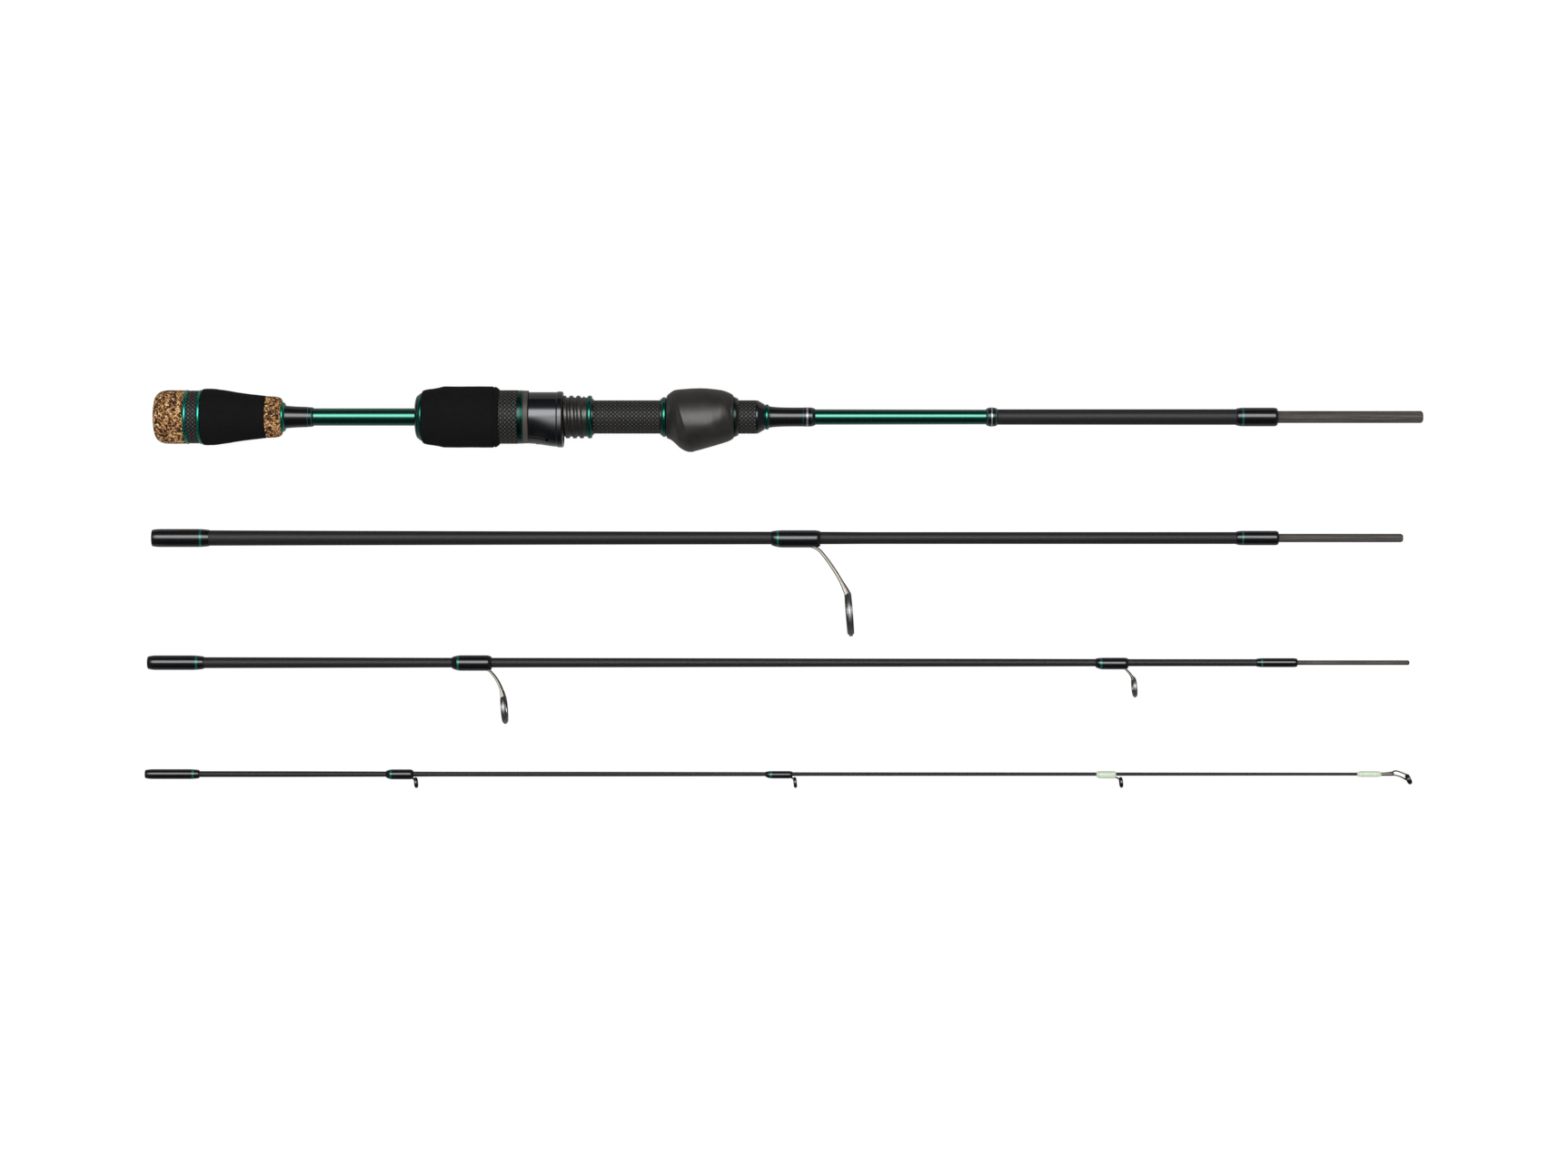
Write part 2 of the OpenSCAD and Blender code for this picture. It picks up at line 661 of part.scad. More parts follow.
if (on("blank_trim_ring")) blank_trim_ring();
if (on("ferrule_wrap_1")) ferrule_wrap_1();
if (on("trim_band_1")) trim_band_1();
if (on("spigot_1")) spigot_1();
if (on("hood")) hood();
if (on("hood_washer")) hood_washer();
if (on("nut_insert")) nut_insert();
if (on("nut_grip")) nut_grip();
if (on("nut_end_cap")) nut_end_cap();
if (on("nut_end_ring")) nut_end_ring();
if (on("nut_sleeve")) nut_sleeve();
if (on("nut_front_ring")) nut_front_ring();
if (on("blank_2")) blank_2();
if (on("ferrule_wrap_2_rear")) ferrule_wrap_2_rear();
if (on("ferrule_wrap_2_front")) ferrule_wrap_2_front();
if (on("trim_bands_2")) trim_bands_2();
if (on("spigot_2")) spigot_2();
if (on("guide_1_wrap")) guide_1_wrap();
if (on("guide_1_frame")) guide_1_frame();
if (on("guide_1_ring")) guide_1_ring();
if (on("blank_3")) blank_3();
if (on("ferrule_wraps_3")) ferrule_wraps_3();
if (on("trim_bands_3")) trim_bands_3();
if (on("spigot_3")) spigot_3();
if (on("guide_wraps_3")) guide_wraps_3();
if (on("guide_2_frame")) guide_2_frame();
if (on("guide_2_ring")) guide_2_ring();
if (on("guide_3_frame")) guide_3_frame();
if (on("guide_3_ring")) guide_3_ring();
if (on("blank_4")) blank_4();
if (on("socket_wrap_4")) socket_wrap_4();
if (on("trim_bands_4")) trim_bands_4();
if (on("guide_wraps_4")) guide_wraps_4();
if (on("glow_wraps")) glow_wraps();
if (on("small_guide_frames")) small_guide_frames();
if (on("small_guide_rings")) small_guide_rings();
if (on("tip_top_frame")) tip_top_frame();
if (on("tip_top_ring")) tip_top_ring();
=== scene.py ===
import json
import math
import bpy
import numpy as np
from mathutils import Vector, Matrix, noise


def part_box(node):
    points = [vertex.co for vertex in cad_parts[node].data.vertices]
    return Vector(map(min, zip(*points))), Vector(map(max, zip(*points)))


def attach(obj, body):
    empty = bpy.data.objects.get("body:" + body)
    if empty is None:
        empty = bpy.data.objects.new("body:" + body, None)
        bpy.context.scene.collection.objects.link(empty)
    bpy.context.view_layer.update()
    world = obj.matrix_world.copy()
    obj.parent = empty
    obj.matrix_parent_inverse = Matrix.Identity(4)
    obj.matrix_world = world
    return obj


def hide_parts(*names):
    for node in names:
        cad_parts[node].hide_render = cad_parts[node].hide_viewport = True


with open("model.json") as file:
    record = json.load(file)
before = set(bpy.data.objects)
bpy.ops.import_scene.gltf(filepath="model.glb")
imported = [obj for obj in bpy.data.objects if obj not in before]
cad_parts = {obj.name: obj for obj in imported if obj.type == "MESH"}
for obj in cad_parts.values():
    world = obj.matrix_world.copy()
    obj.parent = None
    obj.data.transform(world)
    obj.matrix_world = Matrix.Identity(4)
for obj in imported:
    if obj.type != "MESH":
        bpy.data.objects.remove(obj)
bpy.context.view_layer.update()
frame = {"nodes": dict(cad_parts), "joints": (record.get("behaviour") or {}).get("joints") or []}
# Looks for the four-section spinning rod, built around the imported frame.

MM = 0.001
NODES = frame["nodes"]
JOINTS = {j["name"]: j for j in frame["joints"]}
SLOT_OF_NODE = {}


# ------------------------------------------------------------------ places
# Each section's own frame, in metres: X along the blank, its rear end at x = 0.
def section_origin(joint, blank):
    p = JOINTS[joint]["pos_m"]
    return np.array([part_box(blank)[0].x, p[1], p[2]])


S = {
    1: np.array([0.0, 0.0, 0.0]),
    2: section_origin("section_2_twist", "blank_2"),
    3: section_origin("section_3_twist", "blank_3"),
    4: section_origin("section_4_twist", "blank_4"),
}
BODY = {1: "butt_section", 2: "section_2", 3: "section_3", 4: "section_4"}
FLOOR_Z = min(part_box(n)[0].z for n in NODES) - 0.00002

# ------------------------------------------------------------------ taper charts (mm)
CHART = {
    1: [(5, 3.36), (105, 3.36), (237, 3.3), (255.1, 2.975), (320.7, 2.86), (325.3, 2.975), (433, 3.03)],
    2: [(0, 3), (21.9, 2.975), (63.9, 2.835), (134, 2.64), (204, 2.5), (258, 2.41), (275, 2.31), (434.7, 2.31)],
    3: [(0, 2.15), (21.5, 2.13), (48, 2.08), (84, 1.995), (111.5, 1.9), (139.6, 1.87), (188.8, 1.8), (259, 1.63),
        (329.4, 1.52), (385.6, 1.38), (444.6, 1.36)],
    4: [(0, 1.42), (20.8, 1.42), (21.2, 1.16), (53, 1.14), (88, 1.05), (116.3, 0.94), (180, 0.905), (236, 0.805),
        (257, 0.72), (314, 0.7), (391, 0.64), (433, 0.6), (482.5, 0.57)],
}


def chart_r(k, x):
    c = CHART[k]
    return float(np.interp(x, [p[0] for p in c], [p[1] for p in c]))


# ------------------------------------------------------------------ mesh tools
def angles(seg):
    return -math.pi / 2 + 2 * math.pi * np.arange(seg) / seg


def smoothstep(a, b, x):
    t = np.clip((x - a) / (b - a), 0, 1)
    return t * t * (3 - 2 * t)


def fillet(points, n=4, closed=True):
    """Rounds the corners of a profile. Each point is (x, r) or (x, r, corner radius)."""
    out = []
    m = len(points)
    for i, p in enumerate(points):
        f = p[2] if len(p) > 2 else 0
        if f <= 0 or (not closed and i in (0, m - 1)):
            out.append((p[0], p[1]))
            continue
        a, b, c = (np.array(q[:2], float) for q in (points[i - 1], p, points[(i + 1) % m]))
        u, v = a - b, c - b
        lu, lv = np.linalg.norm(u), np.linalg.norm(v)
        if lu < 1e-9 or lv < 1e-9:
            out.append((p[0], p[1]))
            continue
        u, v = u / lu, v / lv
        d = min(f, lu * 0.49, lv * 0.49)
        s, e = b + u * d, b + v * d
        for k in range(n + 1):
            t = k / n
            q = (1 - t) ** 2 * s + 2 * t * (1 - t) * b + t * t * e
            out.append((float(q[0]), float(q[1])))
    return out


def resample(points, step, closed=False):
    """Adds points so that no profile segment is longer than step."""
    out = []
    m = len(points)
    last = m if closed else m - 1
    for i in range(last):
        a, b = np.array(points[i], float), np.array(points[(i + 1) % m], float)
        k = max(1, int(math.ceil(np.linalg.norm(b - a) / step)))
        for j in range(k):
            q = a + (b - a) * j / k
            out.append((float(q[0]), float(q[1])))
    if not closed:
        out.append(tuple(points[-1]))
    return out


def spline(points, step):
    """A smooth curve through (x, r) points, by Catmull-Rom."""
    p = [np.array(q, float) for q in points]
    p = [2 * p[0] - p[1]] + p + [2 * p[-1] - p[-2]]
    out = []
    for i in range(1, len(p) - 2):
        k = max(1, int(math.ceil(np.linalg.norm(p[i + 1] - p[i]) / step)))
        for j in range(k):
            t = j / k
            a, b, c, d = p[i - 1], p[i], p[i + 1], p[i + 2]
            q = 0.5 * (2 * b + (c - a) * t + (2 * a - 5 * b + 4 * c - d) * t * t + (3 * b - a - 3 * c + d) * t ** 3)
            out.append((float(q[0]), float(q[1])))
    out.append((float(points[-1][0]), float(points[-1][1])))
    return out


class Shell:
    """Collects closed surfaces, in millimetres in a section's own frame."""

    def __init__(self):
        self.v, self.f, self.uv, self.n = [], [], [], 0

    def add(self, verts, faces, uvs=None):
        self.v.append(np.asarray(verts, float).reshape(-1, 3))
        for f in faces:
            self.f.append([i + self.n for i in f])
        if uvs is None:
            uvs = [(0.5, 0.5)] * sum(len(f) for f in faces)
        self.uv.extend(uvs)
        self.n += len(self.v[-1])
        return self

    def turned(self, stations, seg=96, closed=True, place=None):
        """A surface round the X axis. A station is (x, r); x and r may each be an array over the angle."""
        area = 0.0
        mean = [(float(np.mean(x)), float(np.mean(r))) for x, r in stations]
        for i in range(len(mean)):
            a, b = mean[i], mean[(i + 1) % len(mean)]
            area += a[0] * b[1] - b[0] * a[1]
        if area > 0:
            stations = stations[::-1]
        th = angles(seg)
        c, s = np.cos(th), np.sin(th)
        verts, rows, at = [], [], 0
        for x, r in stations:
            if np.isscalar(r) and abs(r) < 1e-9:
                verts.append(np.array([[float(np.mean(x)), 0.0, 0.0]]))
                rows.append((at, 1))
                at += 1
            else:
                xx = np.broadcast_to(np.asarray(x, float), (seg,))
                rr = np.broadcast_to(np.asarray(r, float), (seg,))
                verts.append(np.stack([xx, rr * c, rr * s], 1))
                rows.append((at, seg))
                at += seg
        V = np.concatenate(verts)
        count = len(rows)
        faces, uvs = [], []
        for k in range(count if closed else count - 1):
            (a, na), (b, nb) = rows[k], rows[(k + 1) % count]
            xa, xb = float(V[a][0]), float(V[b][0])
            if na == 1 and nb == 1:
                continue
            for j in range(seg):
                j1 = (j + 1) % seg
                u0, u1 = j / seg, (j + 1) / seg
                if na == 1:
                    faces.append([a, b + j1, b + j])
                    uvs += [((u0 + u1) / 2, xa), (u1, xb), (u0, xb)]
                elif nb == 1:
                    faces.append([a + j, a + j1, b])
                    uvs += [(u0, xa), (u1, xa), ((u0 + u1) / 2, xb)]
                else:
                    faces.append([a + j, a + j1, b + j1, b + j])
                    uvs += [(u0, xa), (u1, xa), (u1, xb), (u0, xb)]
        if place is not None:
            V = place(V)
        return self.add(V, faces, uvs)

    def swept(self, centres, ups, widths, thicks, m=12, power=3.2):
        """A strip along a path: rounded-box cross sections, closed at both ends. widths lie along ups."""
        C = np.asarray(centres, float)
        T = np.gradient(C, axis=0)
        T /= np.linalg.norm(T, axis=1)[:, None]
        a = 2 * math.pi * (np.arange(m) + 0.5) / m
        ca, sa = np.cos(a), np.sin(a)
        ex = np.sign(ca) * np.abs(ca) ** (2 / power)
        ey = np.sign(sa) * np.abs(sa) ** (2 / power)
        verts = []
        for i in range(len(C)):
            up = np.asarray(ups[i], float)
            up = up - T[i] * up.dot(T[i])
            up /= np.linalg.norm(up)
            side = np.cross(T[i], up)
            verts.append(C[i] + ex[:, None] * up * widths[i] / 2 + ey[:, None] * side * thicks[i] / 2)
        n = len(C)
        verts.append(C[:1])
        verts.append(C[-1:])
        V = np.concatenate(verts)
        faces = []
        for i in range(n - 1):
            for j in range(m):
                j1 = (j + 1) % m
                faces.append([i * m + j, i * m + j1, (i + 1) * m + j1, (i + 1) * m + j])
        s, e = n * m, n * m + 1
        for j in range(m):
            j1 = (j + 1) % m
            faces.append([s, j1, j])
            faces.append([e, (n - 1) * m + j, (n - 1) * m + j1])
        return self.add(V, faces)

    def piece(self, name, sec, material, body=None, node=(), slot=None, sharp=38.0, fix=False):
        V = np.concatenate(self.v) * MM + S[sec]
        me = bpy.data.meshes.new(name)
        me.from_pydata(V.tolist(), [], self.f)
        layer = me.uv_layers.new(name="lathe")
        layer.data.foreach_set("uv", np.asarray(self.uv, np.float32).ravel())
        me.materials.append(material)
        me.shade_smooth()
        me.set_sharp_from_angle(angle=math.radians(sharp))
        me.validate()
        o = bpy.data.objects.new(name, me)
        bpy.context.scene.collection.objects.link(o)
        if fix:
            import bmesh
            bm = bmesh.new()
            bm.from_mesh(me)
            bmesh.ops.recalc_face_normals(bm, faces=bm.faces)
            bm.to_mesh(me)
            bm.free()
        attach(o, body or BODY[sec])
        nodes = (node,) if isinstance(node, str) else node
        if nodes:
            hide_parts(*nodes)
        return o


def tube(x0, x1, r, bore, f=0.2, fi=0.0):
    return fillet([(x0, bore, fi), (x0, r, f), (x1, r, f), (x1, bore, fi)])


def dome(x0, x1, edge, top, bore, n=14):
    """A ring with a rounded crown."""
    pts = [(x0, bore), (x0, edge - 0.12)]
    for i in range(n + 1):
        t = math.pi * i / n
        pts.append(((x0 + x1) / 2 - (x1 - x0) / 2 * math.cos(t), edge + (top - edge) * math.sin(t)))
    return pts + [(x1, edge - 0.12), (x1, bore)]


def wobble(x, th, scale, amount, seed=0.0):
    """Smooth noise over a turned surface: x is a number, th the angles, scale in mm."""
    out = np.empty(len(th))
    for i, t in enumerate(th):
        out[i] = noise.noise(Vector((x / scale, math.cos(t) * 8 / scale + seed, math.sin(t) * 8 / scale)))
    return out * amount


# ------------------------------------------------------------------ material tools
class Mat:
    def __init__(self, name):
        self.m = bpy.data.materials.new(name)
        self.m.use_nodes = True
        self.t = self.m.node_tree
        self.t.nodes.clear()
        self.out = self.t.nodes.new("ShaderNodeOutputMaterial")
        self.b = self.t.nodes.new("ShaderNodeBsdfPrincipled")
        self.t.links.new(self.b.outputs[0], self.out.inputs[0])

    def node(self, kind, **settings):
        n = self.t.nodes.new(kind)
        for k, v in settings.items():
            setattr(n, k, v)
        return n

    def put(self, socket, value):
        if isinstance(value, bpy.types.NodeSocket):
            self.t.links.new(value, socket)
        elif isinstance(value, (tuple, list)) and len(value) == 3 and socket.type == "RGBA":
            socket.default_value = (*value, 1)
        else:
            socket.default_value = value

    def math(self, op, a, b=None, c=None, clamp=False):
        n = self.node("ShaderNodeMath", operation=op, use_clamp=clamp)
        self.put(n.inputs[0], a)
        if b is not None:
            self.put(n.inputs[1], b)
        if c is not None:
            self.put(n.inputs[2], c)
        return n.outputs[0]

    def mm(self, scale=(1, 1, 1)):
        """Place on the object in millimetres, times scale."""
        tc = self.node("ShaderNodeTexCoord")
        mp = self.node("ShaderNodeMapping")
        mp.inputs["Scale"].default_value = tuple(1000 * s for s in scale)
        self.t.links.new(tc.outputs["Object"], mp.inputs["Vector"])
        return mp.outputs[0]

    def lathe(self):
        """(turn from 0 to 1 round the axis, distance along it in mm)."""
        uv = self.node("ShaderNodeUVMap", uv_map="lathe")
        sep = self.node("ShaderNodeSeparateXYZ")
        self.t.links.new(uv.outputs[0], sep.inputs[0])
        return sep.outputs[0], sep.outputs[1]

    def noise(self, vec, scale, detail=2.0, rough=0.5, distort=0.0):
        n = self.node("ShaderNodeTexNoise")
        self.put(n.inputs["Vector"], vec)
        n.inputs["Scale"].default_value = scale
        n.inputs["Detail"].default_value = detail
        n.inputs["Roughness"].default_value = rough
        n.inputs["Distortion"].default_value = distort
        return n.outputs[0]

    def voronoi(self, vec, scale, feature="F1", randomness=1.0):
        n = self.node("ShaderNodeTexVoronoi", feature=feature)
        self.put(n.inputs["Vector"], vec)
        n.inputs["Scale"].default_value = scale
        n.inputs["Randomness"].default_value = randomness
        return n

    def ramp(self, fac, stops, mode="LINEAR"):
        n = self.node("ShaderNodeValToRGB")
        n.color_ramp.interpolation = mode
        e = n.color_ramp.elements
        while len(e) < len(stops):
            e.new(0.5)
        for el, (p, c) in zip(e, stops):
            el.position = p
            el.color = (*c, 1) if isinstance(c, (tuple, list)) else (c, c, c, 1)
        self.put(n.inputs[0], fac)
        return n.outputs[0]

    def mix(self, fac, a, b, kind="MIX"):
        n = self.node("ShaderNodeMix", data_type="RGBA", blend_type=kind)
        self.put(n.inputs[0], fac)
        self.put(n.inputs[6], a)
        self.put(n.inputs[7], b)
        return n.outputs[2]

    def range(self, v, a, b, c, d):
        n = self.node("ShaderNodeMapRange")
        self.put(n.inputs[0], v)
        for i, x in enumerate((a, b, c, d)):
            n.inputs[i + 1].default_value = x
        return n.outputs[0]

    def combine(self, x, y, z=0.0):
        n = self.node("ShaderNodeCombineXYZ")
        self.put(n.inputs[0], x)
        self.put(n.inputs[1], y)
        self.put(n.inputs[2], z)
        return n.outputs[0]

    def bump(self, height, distance, strength=1.0, normal=None):
        n = self.node("ShaderNodeBump")
        n.inputs["Strength"].default_value = strength
        n.inputs["Distance"].default_value = distance * MM
        self.put(n.inputs["Height"], height)
        if normal is not None:
            self.put(n.inputs["Normal"], normal)
        return n.outputs[0]

    def set(self, **kw):
        for k, v in kw.items():
            self.put(self.b.inputs[k.replace("_", " ")], v)
        return self


def mat_cork():
    """Rubberised cork: pressed granules of many tones with dark binder between them."""
    m = Mat("cork")
    p = m.mm()
    warp = m.node("ShaderNodeTexNoise")
    m.put(warp.inputs["Vector"], p)
    warp.inputs["Scale"].default_value = 1.1
    warp.inputs["Detail"].default_value = 3.0
    wv = m.node("ShaderNodeVectorMath", operation="MULTIPLY_ADD")
    m.put(wv.inputs[0], warp.outputs[1])
    wv.inputs[1].default_value = (0.7, 0.7, 0.7)
    m.put(wv.inputs[2], p)
    q = wv.outputs[0]
    big = m.voronoi(q, 1.42)
    edge = m.voronoi(q, 1.42, "DISTANCE_TO_EDGE")
    small = m.voronoi(p, 2.7)
    tone = m.node("ShaderNodeSeparateXYZ")
    m.put(tone.inputs[0], big.outputs["Color"])
    tone2 = m.node("ShaderNodeSeparateXYZ")
    m.put(tone2.inputs[0], small.outputs["Color"])
    grain = m.ramp(tone.outputs[0], [(0.0, (0.030, 0.014, 0.009)), (0.24, (0.080, 0.036, 0.018)),
                                     (0.42, (0.27, 0.118, 0.046)), (0.60, (0.60, 0.290, 0.105)),
                                     (0.80, (0.95, 0.53, 0.21)), (1.0, (1.0, 0.76, 0.40))])
    fine = m.ramp(tone2.outputs[1], [(0.0, 0.50), (0.45, 0.95), (1.0, 1.2)])
    col = m.mix(0.8, grain, fine, "MULTIPLY")
    seam = m.ramp(edge.outputs[0], [(0.0, (0.14, 0.09, 0.06)), (0.06, (0.38, 0.29, 0.23)), (0.15, (1.0, 1.0, 1.0))])
    col = m.mix(0.95, col, seam, "MULTIPLY")
    fleck = m.ramp(m.noise(p, 1.5, 4.0, 0.7), [(0.0, 0.0), (0.60, 0.0), (0.64, 1.0)])
    col = m.mix(m.math("MULTIPLY", fleck, 0.85), col, (0.035, 0.020, 0.014))
    h = m.math("ADD", m.math("MULTIPLY", edge.outputs[0], 1.4), m.math("MULTIPLY", m.noise(p, 4.0, 3.0), 0.35))
    m.set(Base_Color=col, Roughness=m.range(tone2.outputs[0], 0, 1, 0.6, 0.85), Normal=m.bump(h, 0.16, 0.7),
          Specular_IOR_Level=0.2)
    return m.m


def mat_foam():
    m = Mat("foam_grip")
    p = m.mm()
    a = m.noise(p, 2.6, 5.0, 0.7)
    cells = m.voronoi(p, 4.5)
    big = m.noise(p, 0.16, 2.0)
    col = m.mix(m.ramp(a, [(0.3, 0.0), (0.75, 1.0)]), (0.0042, 0.0042, 0.0043), (0.0100, 0.0100, 0.0102))
    col = m.mix(m.range(big, 0.3, 0.7, 0.0, 0.55), col, (0.0080, 0.0080, 0.0082))
    h = m.math("SUBTRACT", a, m.math("MULTIPLY", cells.outputs["Distance"], 0.55))
    m.set(Base_Color=col, Roughness=m.range(a, 0.3, 0.7, 0.74, 0.92), Normal=m.bump(h, 0.10, 0.75),
          Specular_IOR_Level=0.10)
    return m.m


def mat_green_metal(name="green_metal", base=(0.004, 0.135, 0.092), rough=0.16):
    m = Mat(name)
    u, x = m.lathe()
    turn = m.noise(m.combine(m.math("MULTIPLY", u, 3.0), m.math("MULTIPLY", x, 9.0)), 1.0, 2.0)
    spots = m.noise(m.mm(), 0.9, 2.0)
    col = m.mix(m.range(spots, 0.3, 0.7, 0.0, 1.0), base, tuple(min(1, c * 1.35 + 0.004) for c in base))
    m.set(Base_Color=col, Metallic=0.95, Roughness=m.range(turn, 0.3, 0.7, rough - 0.04, rough + 0.07),
          Coat_Weight=0.4, Coat_Roughness=0.08, Normal=m.bump(turn, 0.012, 0.35))
    return m.m


def mat_lacquer():
    """Green metallic lacquer over the wound blank, under a clear coat."""
    m = Mat("lacquered_blank")
    u, x = m.lathe()
    p = m.mm()
    flake = m.noise(p, 7.0, 2.0)
    tape = m.math("SINE", m.math("MULTIPLY", m.math("ADD", m.math("MULTIPLY", x, 1 / 3.2), u), 2 * math.pi))
    col = m.mix(m.range(flake, 0.35, 0.65, 0.0, 1.0), (0.0040, 0.126, 0.083), (0.0046, 0.136, 0.090))
    col = m.mix(m.range(tape, -1.0, 1.0, 0.0, 0.10), col, (0.003, 0.10, 0.06))
    m.set(Base_Color=col, Metallic=0.95, Roughness=0.17, Coat_Weight=1.0, Coat_Roughness=0.03, Coat_IOR=1.5)
    return m.m


def mat_weave(name, around, pitch, dark=(0.0032, 0.0031, 0.0031), light=(0.088, 0.085, 0.081)):
    """Two sets of flat tows crossing on the slant, so the surface shows small diamonds; the light on the tow crowns is
    painted sheen.
    """
    m = Mat(name)
    u, x = m.lathe()
    a = m.math("MULTIPLY", u, float(around))
    b = m.math("MULTIPLY", x, 1.0 / pitch)
    s = m.math("ADD", a, b)
    d = m.math("SUBTRACT", a, b)
    fs, fd = m.math("FRACT", s), m.math("FRACT", d)
    tri_s = m.math("SUBTRACT", 1.0, m.math("ABSOLUTE", m.math("MULTIPLY_ADD", fs, 2.0, -1.0)))
    tri_d = m.math("SUBTRACT", 1.0, m.math("ABSOLUTE", m.math("MULTIPLY_ADD", fd, 2.0, -1.0)))
    check = m.math("MODULO", m.math("ADD", m.math("ADD", m.math("FLOOR", s), m.math("FLOOR", d)), 4000.0), 2.0)
    over = m.math("GREATER_THAN", check, 0.5)
    top = m.math("POWER", m.math("MINIMUM", tri_s, tri_d), 0.6)
    fibre_s = m.noise(m.combine(m.math("MULTIPLY", s, 14.0), m.math("MULTIPLY", d, 0.8)), 1.0, 2.0)
    fibre_d = m.noise(m.combine(m.math("MULTIPLY", s, 0.8), m.math("MULTIPLY", d, 14.0)), 1.0, 2.0)
    fibre = m.math("ADD", m.math("MULTIPLY", over, fibre_s), m.math("MULTIPLY", m.math("SUBTRACT", 1.0, over), fibre_d))
    # painted sheen and shade: each tow's crown is painted light and its edges dark, and the tows running one way are
    # painted darker, standing in for the light the fibres catch
    col = m.mix(m.ramp(top, [(0.0, 0.0), (0.34, 0.04), (0.78, 1.0)]), dark, light)
    col = m.mix(m.math("MULTIPLY", over, 0.30), col, dark)
    col = m.mix(m.range(fibre, 0.3, 0.7, 0.0, 0.45), col, (0.012, 0.012, 0.012))
    h = m.math("ADD", top, m.math("MULTIPLY", fibre, 0.22))
    m.set(Base_Color=col, Roughness=m.range(over, 0, 1, 0.44, 0.56), Normal=m.bump(h, 0.12, 1.0),
          Specular_IOR_Level=m.range(top, 0.3, 0.75, 0.08, 0.34), Specular_Tint=(1.0, 0.965, 0.925, 1.0), Coat_Weight=0.05, Coat_Roughness=0.35)
    return m.m


def mat_wrap(name="thread_wrap", dark=(0.0022, 0.0022, 0.0026), light=(0.0052, 0.0052, 0.0062), pitch=0.17,
             coat=1.0, metal=0.0, rough=0.45):
    """Thread turns seen through a clear resin coat; the coat itself stays smooth."""
    m = Mat(name)
    u, x = m.lathe()
    turns = m.math("SINE", m.math("MULTIPLY", m.math("ADD", m.math("MULTIPLY", x, 1 / pitch), u), 2 * math.pi))
    p = m.mm()
    slow = m.noise(p, 0.5, 2.0)
    col = m.mix(m.range(turns, -1.0, 1.0, 0.0, 1.0), dark, light)
    col = m.mix(m.range(slow, 0.35, 0.65, 0.0, 0.35), col, tuple(c * 1.6 for c in dark))
    coat_wave = m.bump(m.noise(p, 0.34, 1.0), 0.05, 0.35)
    m.set(Base_Color=col, Roughness=rough, Metallic=metal, Normal=m.bump(turns, 0.02, 0.6), Coat_Weight=coat,
          Coat_Roughness=m.range(slow, 0.3, 0.7, 0.02, 0.05), Coat_IOR=1.6, Coat_Normal=coat_wave,
          Specular_IOR_Level=0.04)
    return m.m


def mat_matte_blank():
    """Unsanded graphite: fine tape turns and a soft sheen."""
    m = Mat("matte_blank")
    u, x = m.lathe()
    p = m.mm()
    tape = m.math("SINE", m.math("MULTIPLY", m.math("ADD", m.math("MULTIPLY", x, 1 / 1.4), u), 2 * math.pi))
    fine = m.noise(m.mm((0.06, 1, 1)), 2.4, 4.0, 0.6)
    speck = m.noise(p, 3.4, 3.0, 0.6)
    col = m.mix(m.range(fine, 0.3, 0.7, 0.0, 1.0), (0.0140, 0.0132, 0.0143), (0.0172, 0.0163, 0.0177))
    col = m.mix(m.range(tape, -1, 1, 0.0, 0.07), col, (0.010, 0.010, 0.011))
    h = m.math("ADD", m.math("MULTIPLY", tape, 0.6), m.math("MULTIPLY", speck, 0.7))
    m.set(Base_Color=col, Roughness=m.range(speck, 0.3, 0.7, 0.455, 0.495), Normal=m.bump(h, 0.004, 0.10),
          Specular_IOR_Level=0.34)
    return m.m


def mat_graphite():
    """Bare ground graphite, streaked along its fibres."""
    m = Mat("graphite")
    long = m.noise(m.mm((0.05, 1.4, 1.4)), 1.0, 5.0, 0.62)
    cloud = m.noise(m.mm((0.12, 0.5, 0.5)), 1.0, 3.0, 0.55)
    u, x = m.lathe()
    ground = m.noise(m.combine(m.math("MULTIPLY", u, 1.5), m.math("MULTIPLY", x, 6.0)), 1.0, 2.0)
    col = m.ramp(long, [(0.25, (0.036, 0.032, 0.029)), (0.5, (0.082, 0.074, 0.068)), (0.75, (0.140, 0.129, 0.118))])
    col = m.mix(m.range(cloud, 0.35, 0.7, 0.0, 0.55), col, (0.052, 0.046, 0.042))
    m.set(Base_Color=col, Roughness=m.range(long, 0.3, 0.7, 0.62, 0.46), Specular_IOR_Level=0.22,
          Normal=m.bump(m.math("ADD", long, m.math("MULTIPLY", ground, 0.5)), 0.03, 0.5))
    return m.m


def mat_plastic(name, dark, light, rough, spec, grain=3.2, depth=0.03, coat=0.0):
    m = Mat(name)
    p = m.mm()
    g = m.noise(p, grain, 3.0, 0.6)
    slow = m.noise(p, 0.22, 3.0, 0.5)
    col = m.mix(m.range(slow, 0.32, 0.68, 0.0, 1.0), dark, light)
    m.set(Base_Color=col, Roughness=m.range(g, 0.3, 0.7, rough - 0.05, rough + 0.06), Specular_IOR_Level=spec,
          Specular_Tint=(1.0, 0.955, 0.905, 1.0),
          Normal=m.bump(g, depth, 0.5), Coat_Weight=coat, Coat_Roughness=0.12)
    return m.m


def mat_gloss():
    m = Mat("black_gloss")
    p = m.mm()
    scuff = m.noise(m.mm((0.5, 1, 1)), 0.45, 4.0, 0.55)
    m.set(Base_Color=m.mix(scuff, (0.0025, 0.0027, 0.0033), (0.006, 0.0062, 0.007)),
          Roughness=m.range(scuff, 0.35, 0.7, 0.025, 0.07), Specular_IOR_Level=0.62,
          Coat_Weight=0.5, Coat_Roughness=0.04, Normal=m.bump(m.noise(p, 0.3, 1.0), 0.03, 0.3))
    return m.m


